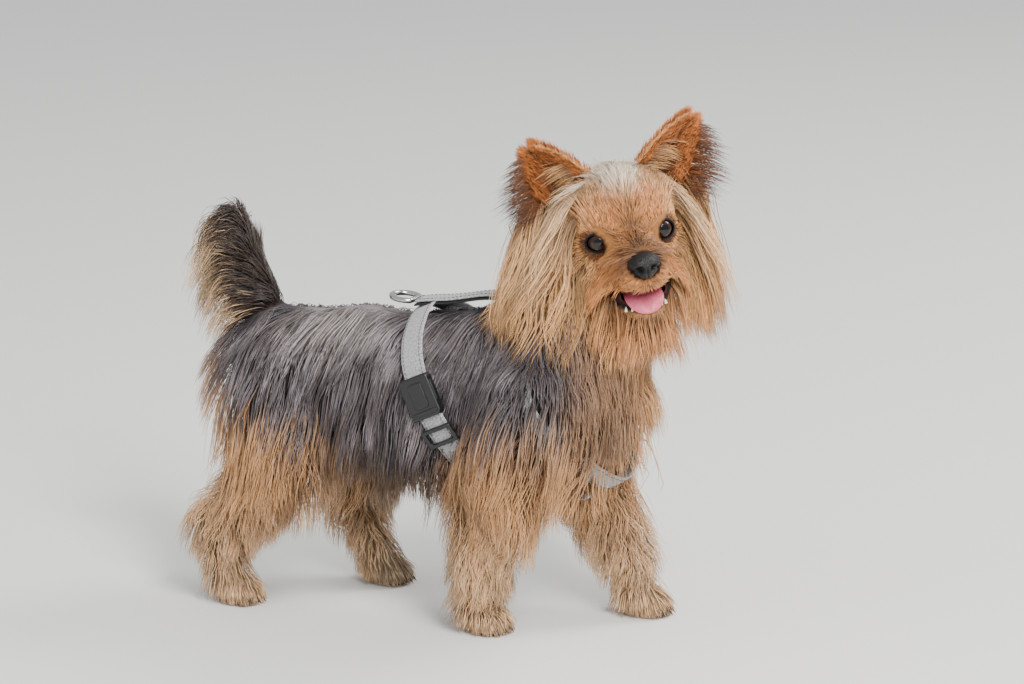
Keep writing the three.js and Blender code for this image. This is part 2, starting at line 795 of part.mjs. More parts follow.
const PAW_TURNS = [rad(-8), rad(6), rad(-4), rad(4)];
function paw(foot, turn, grow) {
  const frame = new THREE.Matrix4().makeTranslation(foot.x, foot.y, 0);
  frame.multiply(new THREE.Matrix4().makeRotationZ(turn));
  const at = (x, y, z) => v(x, y, z).applyMatrix4(frame);
  const size = (x, y, z) => v(x + grow, y + grow, z + grow);
  const pieces = [ellipsoid(at(1, 0, 8.6), size(12, PAW_R - 1.5, 9.4), 8, 5, frame)];
  const toes = [-1.5, -0.5, 0.5, 1.5];
  toes.forEach((place) => {
    const forward = 10.5 - 1.5 * place * place;
    const side = place * 4.9;
    pieces.push(ellipsoid(at(forward, side, 4.9), size(PAW_LENGTH * 0.24, 3.3, 5.4), 6, 4, frame));
    const root = at(forward + 4.5, side * 1.04, 4.6);
    pieces.push(cone(root, at(forward + 10.5 + grow, side * 1.1, 2), 1.3 + grow, 4));
  });
  const floor = block(v(foot.x, foot.y, -20 - grow), v(90, 90, 40));
  return Manifold.union(pieces).subtract(floor);
}

const FEET = {
  forepaw_right: FORE_FEET[0],
  forepaw_left: FORE_FEET[1],
  hindpaw_right: HIND_FEET[0],
  hindpaw_left: HIND_FEET[1],
};

// Every part as a plain solid, and as the slightly larger one that cuts its neighbours. A part is
// cut by all that come before it in this list.

const parts = {
  eye_right: (grow) => eye(-1, grow),
  eye_left: (grow) => eye(1, grow),
  nose: (grow) => nose(grow),
  buckle: (grow) => buckle(grow),
  girth_slider: (grow) => slider(girth, 7.5, grow),
  chest_slider: (grow) => slider(neckLoop, 15.5, grow),
  ring: (grow) => ring(grow),
  back_strap: (grow) => band(backLine.path, backLine.outs, false, grow),
  girth_strap: (grow) => band(girth.path, girth.outs, true, grow),
  neck_strap: (grow) => band(neckLoop.path, neckLoop.outs, true, grow),
  chest_strap: (grow) => band(chestLine.path, chestLine.outs, false, grow),
  ...Object.fromEntries(
    Object.entries(FEET).map(([name, foot], i) => [name, (grow) => paw(foot, PAW_TURNS[i], grow)]),
  ),
  tooth_right: (grow) => tooth(-1, grow),
  tooth_left: (grow) => tooth(1, grow),
  tongue: (grow) => tongue(TONGUE_ROOM * grow),
};
for (const name of ["torso", "neck", "head", "jaw", "tail"]) parts[name] = (grow) => core(flesh[name], grow);
for (const side of SIDES) {
  parts["foreleg_" + side] = (grow) => core(flesh["foreleg_" + side], grow);
  parts["hindleg_" + side] = (grow) => core(flesh["hindleg_" + side], grow);
}
parts.ear_right = (grow) => ear(-1, grow);
parts.ear_left = (grow) => ear(1, grow);

const mouth = ellipsoid(MOUTH.centre, MOUTH.size, 16, 8);
const shaped = {
  head: (made) => Manifold.union([made, lids(1), lids(-1)]).subtract(mouth),
  jaw: (made) => made.subtract(mouth),
};

// The coat. Each part has a style by place: which way the locks lie (lie), how far they stand off at
// the root (lift), how fast they turn downwards (droop), how far they clear the cores below (rise),
// how much coat they pass over on other parts (over), and their length, width, thickness and spacing
// of rows (rowGap). A place with no style keeps the bare core.

const inHead = new THREE.Matrix4().copy(headFrame).invert();
const BASE = { lift: 0.1, droop: 0.22, rise: 7.5, over: 2, length: 54, width: 25, thick: 3.8, rowGap: 43 };
const style = (changes) => ({ ...BASE, ...changes });
const sideOf = (y) => (y < 0 ? -1 : 1);

const PARTING = 2.5; // half width of the bare line along the spine
function torsoStyle(p) {
  const side = sideOf(p.y - 1);
  const isTop = p.z > 172;
  if (isTop && Math.abs(p.y - 1) < PARTING) return null;
  if (p.x < -104) return style({ lie: v(-0.5, 0.2 * side, -1), length: 50, lift: 0.5, droop: 0.3 });
  const isBelly = p.z < 104;
  if (isBelly) return style({ lie: v(-0.4, 0.3 * side, -0.3), length: 40, lift: 0.9, droop: 0.5, width: 26 });
  return style({ lie: v(-0.22, 0.8 * side, -1), length: 54, rise: isTop ? 5 : 7.5 });
}

function neckStyle(p) {
  const side = sideOf(p.y - 3);
  const isFront = p.x > 112;
  return style({
    lie: v(isFront ? 0.3 : -0.25, (isFront ? 0.25 : 0.7) * side, -1),
    length: 50,
    width: 21,
    rowGap: 39,
    rise: 7,
    droop: 0.35,
  });
}

const EYE_CLEAR = 14.5;
const EAR_CLEAR = 13;
function headStyle(p) {
  const q = p.clone().applyMatrix4(inHead);
  const side = sideOf(q.y);
  const nearEye = [1, -1].some((s) => p.distanceTo(eyeCentre(s)) < EYE_CLEAR);
  const nearEar = [1, -1].some((s) => p.distanceTo(EAR_BASE(s)) < EAR_CLEAR);
  if (nearEye || nearEar) return null;
  if (q.x > 46 || (q.x > 22 && q.z > -9)) return null;
  if (q.x > 20) {
    if (q.z < -21 || Math.abs(q.y) < 5) return null;
    const lie = headDirection(-0.75, 0.9 * side, -1.0);
    return style({ lie, length: 31, width: 13, thick: 3, rowGap: 16, rise: 4, over: 2, droop: 0.2 });
  }
  if (q.z > 12 && Math.abs(q.y) < 20) {
    if (q.x > 4) return null;
    const lie = headDirection(-1, 0.5 * side, 0.1);
    return style({ lie, length: 44, width: 17, rowGap: 26, rise: 4.5, over: 3, droop: 0.12 });
  }
  const lie = headDirection(-0.35, 0.8 * side, -1);
  const isLow = q.z < -8;
  return style({ lie, length: isLow ? 50 : 66, width: 16, rowGap: 30, rise: 6.5, over: 7, droop: 0.3 });
}

function jawStyle(p) {
  const q = p.clone().applyMatrix4(inHead);
  if (q.z > -36 || q.x < 2) return null;
  const lie = headDirection(0.15, 0.35 * sideOf(q.y), -1);
  return style({ lie, length: 38, width: 14, thick: 3, rowGap: 15, rise: 4, over: 5, lift: 0.5, droop: 0.4 });
}

function tailStyle(p) {
  if (p.z < 176) return null;
  const lie = v(-0.75, 0.25 * sideOf(p.y), -0.5);
  return style({ lie, length: 38, width: 16, rowGap: 24, rise: 6, lift: 0.55, droop: 0.32 });
}

function legStyle(top) {
  return (p) => {
    if (p.z < 22) return null;
    const share = clamp((p.z - 20) / (top - 20), 0, 1);
    const lie = v(-0.25, 0, -1);
    return style({
      lie,
      length: lerp(26, 46, share),
      width: 19.5,
      rowGap: lerp(26, 41, share),
      rise: 7,
      lift: 0.45,
      droop: 0.3,
      over: 1,
    });
  };
}

const coatStyles = {
  head: headStyle,
  jaw: jawStyle,
  neck: neckStyle,
  torso: torsoStyle,
  tail: tailStyle,
};
for (const side of SIDES) {
  coatStyles["foreleg_" + side] = legStyle(130);
  coatStyles["hindleg_" + side] = legStyle(150);
}

// Every part is cut by those before it, and a lock by every other core and by the locks of the
// parts whose coat lies over it. What a cut leaves loose is dropped.

const cutters = {};
const cores = {};
for (const [name, make] of Object.entries(parts)) {
  const whole = shaped[name] ? shaped[name](make(0)) : make(0);
  const before = Object.values(cutters);
  cores[name] = before.length ? whole.subtract(Manifold.union(before)) : whole;
  cutters[name] = make(GAP);
}

const bodies = { ...cores };
const lockCutters = [
  roomOver(girth.path, girth.outs, true),
  roomOver(backLine.path, backLine.outs, false),
  ...[2, 5].map((lift) => buckle(GAP, lift)),
];
for (const [name, styleAt] of Object.entries(coatStyles)) {
  const falls = combed(name, styleAt);
  const locks = falls.map((f) => lock(f.path, f.normals, f.width, f.thick));
  const others = Object.entries(cutters).filter(([other]) => other !== name);
  const around = Manifold.union([...others.map(([, cutter]) => cutter), ...lockCutters]);
  bodies[name] = largest(cores[name]).add(Manifold.union(locks).subtract(around));
  lockCutters.push(Manifold.union(falls.map((f) => lock(f.path, f.normals, f.width, f.thick, GAP))));
}

const ROOM_EDGE = 2 * GAP;
function roomRound(piece) {
  const { min, max } = piece.boundingBox();
  const low = v(...min);
  const high = v(...max);
  return block(low.clone().lerp(high, 0.5), high.sub(low).addScalar(ROOM_EDGE));
}

// Where a twisted lock still touches another part, it is cut back by the same gap

const apart = (a, b) => {
  const [boxA, boxB] = [a.boundingBox(), b.boundingBox()];
  return [0, 1, 2].some((k) => boxA.min[k] > boxB.max[k] || boxB.min[k] > boxA.max[k]);
};

for (const name of Object.keys(bodies)) bodies[name] = largest(bodies[name]);
Object.keys(coatStyles).forEach((name, i) => {
  const later = Object.keys(coatStyles).slice(i + 1);
  for (const other of Object.keys(bodies)) {
    if (other === name || later.includes(other) || apart(bodies[name], bodies[other])) continue;
    const common = bodies[name].intersect(bodies[other]);
    if (common.volume() > TOUCH)
      bodies[name] = largest(bodies[name].subtract(Manifold.union(common.decompose().map(roomRound))));
  }
});

// Finishes by part: colour, roughness and metalness

const FINISHES = {
  eye: ["#20120c", 0.08, 0],
  nose: ["#141212", 0.45, 0],
  buckle: ["#161616", 0.4, 0],
  slider: ["#1b1b1b", 0.4, 0],
  ring: ["#b9babd", 0.25, 1],
  strap: ["#9a9a9d", 0.85, 0],
  paw: ["#6b4a32", 0.75, 0],
  tooth: ["#e2d6ba", 0.3, 0],
  tongue: ["#cf7f86", 0.35, 0],
  torso: ["#55505a", 0.6, 0],
  neck: ["#8c6a52", 0.6, 0],
  head: ["#b98960", 0.6, 0],
  jaw: ["#b98960", 0.6, 0],
  tail: ["#3a2d27", 0.6, 0],
  leg: ["#a2764f", 0.6, 0],
  ear: ["#7a4a32", 0.7, 0],
};

function finishOf(name) {
  const key = Object.keys(FINISHES).find((word) => name.includes(word));
  const [color, roughness, metalness] = FINISHES[key];
  return new THREE.MeshStandardMaterial({ color, roughness, metalness });
}

const dog = new THREE.Group();
for (const [name, made] of Object.entries(bodies)) {
  const mesh = new THREE.Mesh(geometryOf(made), finishOf(name));
  mesh.name = name;
  dog.add(mesh);
}
const box = new THREE.Box3().setFromObject(dog);
dog.position.set(-(box.min.x + box.max.x) / 2, -(box.min.y + box.max.y) / 2, -box.min.z);

export default dog;
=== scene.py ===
"""The looks of a life-size Yorkshire terrier in a webbing harness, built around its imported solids.

The body is written in millimetres in the dog's own frame: +X towards the chest, +Y towards its left
side, Z = 0 at the floor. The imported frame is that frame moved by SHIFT, in metres.
"""

import math

import bmesh
import bpy
import numpy as np
from mathutils import Matrix, Vector
from mathutils.kdtree import KDTree


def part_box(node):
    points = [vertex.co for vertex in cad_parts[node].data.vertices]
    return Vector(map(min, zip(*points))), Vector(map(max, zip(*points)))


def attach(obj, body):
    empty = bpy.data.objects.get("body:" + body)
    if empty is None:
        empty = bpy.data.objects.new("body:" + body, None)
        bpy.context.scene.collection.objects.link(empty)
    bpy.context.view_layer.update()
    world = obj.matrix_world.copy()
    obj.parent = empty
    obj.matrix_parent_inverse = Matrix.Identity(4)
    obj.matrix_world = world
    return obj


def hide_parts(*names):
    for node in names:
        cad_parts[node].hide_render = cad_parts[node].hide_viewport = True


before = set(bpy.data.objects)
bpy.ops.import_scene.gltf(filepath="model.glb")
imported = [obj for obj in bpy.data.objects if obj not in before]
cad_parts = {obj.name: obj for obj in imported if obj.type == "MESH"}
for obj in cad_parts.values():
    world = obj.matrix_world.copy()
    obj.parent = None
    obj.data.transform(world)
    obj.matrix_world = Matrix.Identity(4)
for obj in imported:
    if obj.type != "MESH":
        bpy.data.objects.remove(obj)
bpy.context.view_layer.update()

MM = 0.001


def vec(x, y, z):
    return np.array([x, y, z], float)


def unit(a):
    return a / np.maximum(np.linalg.norm(a, axis=-1, keepdims=True), 1e-9)


def smooth_step(low, high, value):
    t = np.clip((value - low) / (high - low), 0.0, 1.0)
    return t * t * (3.0 - 2.0 * t)


def mix(a, b, share):
    return a + (b - a) * share


def rotation(axis, degrees):
    return np.array(Matrix.Rotation(math.radians(degrees), 3, axis))


# The head's own frame: f out of the face, l to the dog's left, u up

SKULL = vec(137, -1, 240)
HEAD_AXES = rotation("Z", -54) @ rotation("Y", 1) @ rotation("X", 10)


def head(f, l, u):
    return SKULL + HEAD_AXES @ vec(f, l, u)


def head_direction(f, l, u):
    return HEAD_AXES @ vec(f, l, u)


def in_head(points):
    return (points - SKULL) @ HEAD_AXES


# Joints of the skeleton, right side first

SIDES = ("right", "left")
SIGNS = {"right": -1, "left": 1}  # the sign of l and y on each side
SHOULDERS = [vec(92, -27, 132), vec(92, 34, 134)]
ELBOWS = [vec(75, -33, 93), vec(92, 42, 96)]
WRISTS = [vec(64, -30, 36), vec(120, 44, 38)]
FORE_FEET = [vec(63, -29, 0), vec(131, 43, 0)]
HIPS = [vec(-74, -22, 142), vec(-70, 22, 142)]
STIFLES = [vec(-60, -34, 94), vec(-36, 34, 96)]
HOCKS = [vec(-107, -38, 48), vec(-58, 37, 50)]
HIND_FEET = [vec(-96, -38, 0), vec(-36, 37, 0)]
PAW_TURNS = {"fore": (-8, 6), "hind": (-4, 4)}
PASTERN = vec(-5, 0, 22)
TAIL_ROOT = vec(-92, 0, 166)
EYE_R = 8.0
EYE_SPREAD = 17.3  # from the middle plane of the head
EYE_FORWARD = 21.4
SOLID_EYE_FORWARD = 20.5  # where the solids have the eyes, by which both frames are lined up


def eye_centre(side):
    return head(EYE_FORWARD, side * EYE_SPREAD, 0)


# Muscles: rounded bars from a to b, narrowed from side to side by flat


def muscle(a, b, ra, rb, flat=1.0):
    return (a, b, ra, rb, flat)


def chain(joints, radii):
    return [muscle(joints[i], joints[i + 1], radii[i], radii[i + 1]) for i in range(len(joints) - 1)]


def both_sides(a, b, ra, rb):
    """A muscle of the head, given as f, l, u on the left, and its twin on the right."""
    return [muscle(head(a[0], s * a[1], a[2]), head(b[0], s * b[1], b[2]), ra, rb) for s in (1, -1)]


TOES = (-1.5, -0.5, 0.5, 1.5)  # places of the four toes across a foot


def toe_forward(place):
    """How far a toe stands before the middle of its foot."""
    return 10.0 - 1.5 * place * place


def foot_muscles(foot, degrees):
    turn = rotation("Z", degrees)

    def at(x, y, z):
        return foot + turn @ vec(x, y, z)

    made = [muscle(at(-4, 0, 8), at(4, 0, 7.5), 8.6, 8.4)]
    for place in TOES:
        forward = toe_forward(place)
        made.append(muscle(at(forward - 4, place * 4.4, 5.6), at(forward + 3, place * 4.9, 4.6), 4.2, 3.7))
    return made


flesh = {
    "torso": {
        "muscles": [
            muscle(vec(-80, 0, 139), vec(-25, 0, 141), 33, 33),
            muscle(vec(-25, 0, 141), vec(30, 2, 136), 33, 40),
            muscle(vec(30, 2, 136), vec(82, 5, 132), 40, 41, 0.95),
            muscle(vec(60, 3, 161), vec(86, 5, 160), 23, 22),
            muscle(vec(86, 5, 130), vec(112, 8, 116), 32, 26),
        ],
        "line": [vec(-80, 0, 140), vec(-25, 0, 142), vec(30, 2, 138), vec(70, 4, 136), vec(104, 7, 124)],
        "blend": 14,
    },
    "neck": {
        "muscles": [
            muscle(vec(84, 4, 146), vec(108, 3, 190), 31, 27),
            muscle(vec(108, 3, 190), vec(128, 1, 226), 27, 25),
            muscle(vec(104, 7, 132), vec(116, 3, 178), 24, 20),
        ],
        "line": [vec(88, 5, 148), vec(108, 4, 186), vec(126, 1, 220)],
        "blend": 10,
    },
    "head": {
        "muscles": [muscle(head(-9, 0, 4), head(6, 0, 5), 30, 29)]
        + both_sides((13, 9, 8), (13, 9.01, 8), 15.5, 15.5)
        + both_sides((4, 17, -11), (4, 17.01, -11), 16, 16)
        + [muscle(head(20, 0, -9), head(50, 0, -11), 13.5, 11.2)]
        + both_sides((26, 9, -15), (49, 4, -17), 8.5, 6.5),
        "line": [head(-12, 0, 2), head(8, 0, 1), head(30, 0, -7), head(50, 0, -12)],
        "blend": 7,
    },
    "jaw": {
        "muscles": both_sides((4, 4, -24), (28, 6, -36), 13, 8)
        + both_sides((28, 6, -36), (42, 3, -41), 8, 5.5)
        + both_sides((6, 20, -24), (34, 13.5, -30), 5.5, 2.8),
        "line": [head(4, 0, -25), head(26, 0, -35), head(43, 0, -41)],
        "blend": 6,
    },
    "tail": {
        "muscles": [
            muscle(TAIL_ROOT, vec(-108, 0, 198), 10, 8),
            muscle(vec(-108, 0, 198), vec(-116, 0, 222), 8, 6),
        ],
        "line": [TAIL_ROOT, vec(-108, 0, 198), vec(-116, 0, 222)],
        "blend": 6,
    },
}
for i, side in enumerate(SIDES):
    fore_end = FORE_FEET[i] + PASTERN
    hind_end = HIND_FEET[i] + PASTERN
    fore = [SHOULDERS[i], ELBOWS[i], WRISTS[i], fore_end]
    hind = [STIFLES[i], HOCKS[i], hind_end]
    flesh["foreleg_" + side] = {
        "muscles": chain(fore, [21, 14, 8, 7.5])
        + [muscle(fore_end, FORE_FEET[i] + vec(0, 0, 9), 7.5, 8)]
        + foot_muscles(FORE_FEET[i], PAW_TURNS["fore"][i]),
        "line": fore,
        "blend": 6,
    }
    flesh["hindleg_" + side] = {
        "muscles": [muscle(HIPS[i] + vec(0, 0, -9), STIFLES[i], 26, 17)]
        + chain(hind, [16, 8.5, 7.5])
        + [muscle(hind_end, HIND_FEET[i] + vec(0, 0, 9), 7.5, 8)]
        + foot_muscles(HIND_FEET[i], PAW_TURNS["hind"][i]),
        "line": [HIPS[i]] + hind,
        "blend": 6,
    }
PARTS = list(flesh)


def bar_distance(points, bar):
    a, b, ra, rb, flat = bar
    squeeze = vec(1, 1 / flat, 1)
    along = (b - a) * squeeze
    rest = (points - a) * squeeze
    t = np.clip(rest @ along / max(along @ along, 1e-9), 0, 1)
    return np.linalg.norm(rest - t[:, None] * along, axis=1) - (ra + (rb - ra) * t)


def smooth_min(a, b, blend):
    h = np.maximum(blend - np.abs(a - b), 0) / blend
    return np.minimum(a, b) - h * h * blend / 4


def part_distance(points, part):
    nearest = bar_distance(points, part["muscles"][0])
    for bar in part["muscles"][1:]:
        nearest = smooth_min(nearest, bar_distance(points, bar), part["blend"])
    return nearest


BODY_BLEND = 7.0


def body_distance(points, own=None, over=0.0):
    """Distance to the skin. Parts other than own count as thicker by over, for the coat on them."""
    nearest = None
    for name, part in flesh.items():
        d = part_distance(points, part) - (0.0 if name == own else over)
        nearest = d if nearest is None else smooth_min(nearest, d, BODY_BLEND)
    return nearest


def slope(points, distance, e=0.4):
    middle = distance(points)
    grad = np.stack([distance(points + e * axis) - middle for axis in np.eye(3)], 1)
    return middle, unit(grad)


# Frame: the solids stand with the middle of their box at the origin

cad_eyes = np.mean([np.mean(np.array(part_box("eye_" + side)), 0) for side in SIDES], 0)
SHIFT = cad_eyes / MM - head(SOLID_EYE_FORWARD, 0, 0)
SHIFT[2] = 0.0


def to_scene(points):
    return (np.asarray(points) + SHIFT) * MM


# Colours and materials


def linear(colour):
    """An sRGB hex colour as linear RGB."""
    parts = [int(colour[i : i + 2], 16) / 255 for i in (1, 3, 5)]
    return np.array([c / 12.92 if c <= 0.04045 else ((c + 0.055) / 1.055) ** 2.4 for c in parts])


def new_material(name):
    material = bpy.data.materials.new(name)
    material.use_nodes = True
    return material, material.node_tree.nodes["Principled BSDF"]


def add_node(material, kind, settings=None, links=None):
    """Adds a node: settings are inputs or properties by name, links are input name to output socket."""
    node = material.node_tree.nodes.new(kind)
    for key, value in (settings or {}).items():
        if hasattr(node, key):
            setattr(node, key, value)
        else:
            node.inputs[key].default_value = value
    for key, socket in (links or {}).items():
        material.node_tree.links.new(socket, node.inputs[key])
    return node


def set_values(shader, **values):
    for key, value in values.items():
        shader.inputs[key.replace("_", " ")].default_value = value


def rgba(colour):
    return (*linear(colour), 1.0)


def link(material, socket, target):
    material.node_tree.links.new(socket, target)


def hair_material(name, roughness, speckle):
    """Silky dog hair: the colour comes from the coat's own map, with a fine change along each tuft."""
    material, shader = new_material(name)
    coat = add_node(material, "ShaderNodeAttribute", {"attribute_name": "coat"})
    place = add_node(material, "ShaderNodeTexCoord")
    grain = add_node(
        material,
        "ShaderNodeTexNoise",
        {"Scale": 420.0, "Detail": 2.0, "Roughness": 0.6},
        {"Vector": place.outputs["Object"]},
    )
    spread = add_node(
        material,
        "ShaderNodeMapRange",
        {"From Min": 0.3, "From Max": 0.7, "To Min": 1.0 - speckle, "To Max": 1.0 + speckle},
        {"Value": grain.outputs["Fac"]},
    )
    tint = add_node(
        material,
        "ShaderNodeVectorMath",
        {"operation": "SCALE"},
        {"Vector": coat.outputs["Color"], "Scale": spread.outputs["Result"]},
    )
    link(material, tint.outputs["Vector"], shader.inputs["Base Color"])
    set_values(shader, Roughness=roughness, IOR=1.5, Specular_IOR_Level=0.55)
    return material


def skin_material():
    """Skin under the coat: short soft hair, so matt, mottled and finely bumped."""
    material, shader = new_material("short_hair_on_skin")
    coat = add_node(material, "ShaderNodeAttribute", {"attribute_name": "coat"})
    place = add_node(material, "ShaderNodeTexCoord")
    grain = add_node(
        material,
        "ShaderNodeTexNoise",
        {"Scale": 900.0, "Detail": 3.0},
        {"Vector": place.outputs["Object"]},
    )
    bump = add_node(
        material,
        "ShaderNodeBump",
        {"Strength": 0.5, "Distance": 0.0006},
        {"Height": grain.outputs["Fac"]},
    )
    link(material, coat.outputs["Color"], shader.inputs["Base Color"])
    link(material, bump.outputs["Normal"], shader.inputs["Normal"])
    set_values(shader, Roughness=0.8, Specular_IOR_Level=0.15)
    return material


def wet_material(name, colour, other, scale, roughness, bump_mm):
    """A moist body surface: two close colours in blotches, a fine relief and a wet gloss."""
    material, shader = new_material(name)
    place = add_node(material, "ShaderNodeTexCoord")
    cells = add_node(
        material, "ShaderNodeTexVoronoi", {"Scale": scale}, {"Vector": place.outputs["Object"]}
    )
    blotch = add_node(
        material,
        "ShaderNodeTexNoise",
        {"Scale": scale * 0.3, "Detail": 3.0},
        {"Vector": place.outputs["Object"]},
    )
    tint = add_node(
        material,
        "ShaderNodeMix",
        {"data_type": "RGBA"},
        {"Factor": blotch.outputs["Fac"]},
    )
    tint.inputs[6].default_value = rgba(colour)
    tint.inputs[7].default_value = rgba(other)
    bump = add_node(
        material,
        "ShaderNodeBump",
        {"Strength": 0.6, "Distance": bump_mm * MM},
        {"Height": cells.outputs["Distance"]},
    )
    link(material, tint.outputs[2], shader.inputs["Base Color"])
    link(material, bump.outputs["Normal"], shader.inputs["Normal"])
    set_values(shader, Roughness=roughness, Specular_IOR_Level=0.3)
    return material


THREAD = 0.9  # millimetres between threads, coarser than the real weave so that it shows


def webbing_material():
    """Woven polyester webbing in a light grey melange: threads across and along, fuzzy and matt."""
    material, shader = new_material("melange_webbing")
    uv = add_node(material, "ShaderNodeUVMap", {"uv_map": "Along"})
    across = add_node(
        material,
        "ShaderNodeTexWave",
        {"Scale": 1 / (THREAD * 2), "bands_direction": "Y", "Distortion": 0.6, "Detail": 1.0},
        {"Vector": uv.outputs["UV"]},
    )
    along = add_node(
        material,
        "ShaderNodeTexWave",
        {"Scale": 1 / (THREAD * 2), "bands_direction": "X", "Distortion": 0.4, "Detail": 1.0},
        {"Vector": uv.outputs["UV"]},
    )
    melange = add_node(
        material,
        "ShaderNodeTexNoise",
        {"Scale": 0.9, "Detail": 4.0, "Roughness": 0.75},
        {"Vector": uv.outputs["UV"]},
    )
    ramp = add_node(material, "ShaderNodeValToRGB", None, {"Fac": melange.outputs["Fac"]})
    ramp.color_ramp.elements[0].position = 0.36
    ramp.color_ramp.elements[0].color = rgba("#6c6c71")
    ramp.color_ramp.elements[1].position = 0.66
    ramp.color_ramp.elements[1].color = rgba("#c2c1c1")
    weave = add_node(
        material,
        "ShaderNodeMath",
        {"operation": "MULTIPLY"},
        {0: across.outputs["Fac"], 1: along.outputs["Fac"]},
    )
    bump = add_node(
        material, "ShaderNodeBump", {"Strength": 0.7, "Distance": 0.0004}, {"Height": weave.outputs["Value"]}
    )
    link(material, ramp.outputs["Color"], shader.inputs["Base Color"])
    link(material, bump.outputs["Normal"], shader.inputs["Normal"])
    set_values(shader, Roughness=0.85, Sheen_Weight=0.25)
    return material


def plain_material(name, colour, roughness, metallic=0.0, grain=0.0, coat=0.0):
    """A made finish with a fine grain in its roughness and relief."""
    material, shader = new_material(name)
    place = add_node(material, "ShaderNodeTexCoord")
    noise = add_node(
        material, "ShaderNodeTexNoise", {"Scale": 1500.0, "Detail": 3.0}, {"Vector": place.outputs["Object"]}
    )
    rough = add_node(
        material,
        "ShaderNodeMapRange",
        {"To Min": roughness * 0.8, "To Max": roughness * 1.2},
        {"Value": noise.outputs["Fac"]},
    )
    bump = add_node(
        material, "ShaderNodeBump", {"Strength": grain, "Distance": 0.0002}, {"Height": noise.outputs["Fac"]}
    )
    link(material, rough.outputs["Result"], shader.inputs["Roughness"])
    link(material, bump.outputs["Normal"], shader.inputs["Normal"])
    set_values(shader, Base_Color=rgba(colour), Metallic=metallic, Coat_Weight=coat)
    return material


def eye_material():
    """A dark brown eye: its iris colour is on the mesh, under a clear wet cornea."""
    material, shader = new_material("wet_eye")
    iris = add_node(material, "ShaderNodeAttribute", {"attribute_name": "coat"})
    link(material, iris.outputs["Color"], shader.inputs["Base Color"])
    set_values(shader, Roughness=0.25, IOR=1.38, Specular_IOR_Level=0.05)
    set_values(shader, Coat_Weight=0.8, Coat_Roughness=0.02)
    return material


long_hair = hair_material("long_silky_hair", 0.37, 0.16)
short_hair = hair_material("short_face_hair", 0.5, 0.14)
skin_finish = skin_material()
# pebbled and damp: small broken highlights on near black
nose_finish = wet_material("damp_nose_leather", "#0b090a", "#191516", 1500.0, 0.42, 0.45)
# wet and finely rough: a broad pink sheen
tongue_finish = wet_material("wet_tongue", "#bf4a61", "#d37483", 1900.0, 0.3, 0.14)
# horn: dark brown with a dull gloss
claw_finish = plain_material("horn_claw", "#2b211b", 0.35, grain=0.2)
# enamel: ivory under a clear gloss
tooth_finish = plain_material("tooth_enamel", "#e6dcc2", 0.22, grain=0.1, coat=0.4)
# acetal from a satin mould: black with a soft shine
plastic_finish = plain_material("moulded_acetal", "#141416", 0.38, grain=0.35)
# nickel plate: a bright mirror
steel_finish = plain_material("nickel_plated_steel", "#c4c3c2", 0.2, metallic=1.0, grain=0.05)
# neoprene: black and dull
backing_finish = plain_material("black_neoprene_backing", "#19191b", 0.8, grain=0.8)
# polyester thread: a grey a little darker than the webbing
thread_finish = plain_material("sewing_thread", "#5c5c60", 0.7, grain=0.3)
webbing_finish = webbing_material()
eye_finish = eye_material()


# Meshes from arrays


def in_scene(name, data):
    """An object for a mesh, curve, light or camera, linked to the scene."""
    made = bpy.data.objects.new(name, data)
    bpy.context.scene.collection.objects.link(made)
    return made


def plain_mesh(source):
    """The mesh that an object's modifiers or curve settings give."""
    return bpy.data.meshes.new_from_object(source.evaluated_get(bpy.context.evaluated_depsgraph_get()))


def build_mesh(name, vertices, faces, material, colours=None, smooth=True, uvs=None, uv_name="Along"):
    """A mesh object at the origin. vertices are in the dog's millimetres, colours go to the map coat."""
    mesh = bpy.data.meshes.new(name)
    vertices = to_scene(vertices)
    faces = np.asarray(faces, np.int32)
    count, corners = faces.shape
    mesh.vertices.add(len(vertices))
    mesh.vertices.foreach_set("co", vertices.astype(np.float32).ravel())
    mesh.loops.add(count * corners)
    mesh.loops.foreach_set("vertex_index", faces.ravel())
    mesh.polygons.add(count)
    mesh.polygons.foreach_set("loop_start", np.arange(0, count * corners, corners, dtype=np.int32))
    mesh.update(calc_edges=True)
    if colours is not None:
        paint(mesh, colours)
    if uvs is not None:
        layer = mesh.uv_layers.new(name=uv_name)
        layer.uv.foreach_set("vector", np.asarray(uvs, np.float32)[faces.ravel()].ravel())
    if smooth:
        mesh.polygons.foreach_set("use_smooth", np.ones(count, bool))
    mesh.materials.append(material)
    return in_scene(name, mesh)


def paint(mesh, colours):
    attribute = mesh.color_attributes.new("coat", "FLOAT_COLOR", "POINT")
    full = np.ones((len(colours), 4), np.float32)
    full[:, :3] = colours
    attribute.data.foreach_set("color", full.ravel())


def mesh_points(mesh):
    points = np.empty(len(mesh.vertices) * 3, np.float32)
    mesh.vertices.foreach_get("co", points)
    return points.reshape(-1, 3).astype(float)


def grid_faces(rows, columns, wraps_rows=False, wraps_columns=True):
    """Quads of a grid of points, row by row."""
    last_row = rows if wraps_rows else rows - 1
    last_column = columns if wraps_columns else columns - 1
    r, c = np.meshgrid(np.arange(last_row), np.arange(last_column), indexing="ij")
    r2 = (r + 1) % rows
    c2 = (c + 1) % columns
    quads = [r * columns + c, r * columns + c2, r2 * columns + c2, r2 * columns + c]
    return np.stack(quads, -1).reshape(-1, 4)


def halved(quads):
    return np.concatenate([quads[:, [0, 1, 2]], quads[:, [0, 2, 3]]])


def tube_faces(rows, columns):
    """Triangles of a tube of rows of points. Its last two points close the first and the last row."""
    k = np.arange(columns)
    k2 = (k + 1) % columns
    last_row = (rows - 1) * columns
    first = np.stack([np.full(columns, rows * columns), k2, k], 1)
    last = np.stack([np.full(columns, rows * columns + 1), last_row + k, last_row + k2], 1)
    return np.concatenate([halved(grid_faces(rows, columns)), first, last])


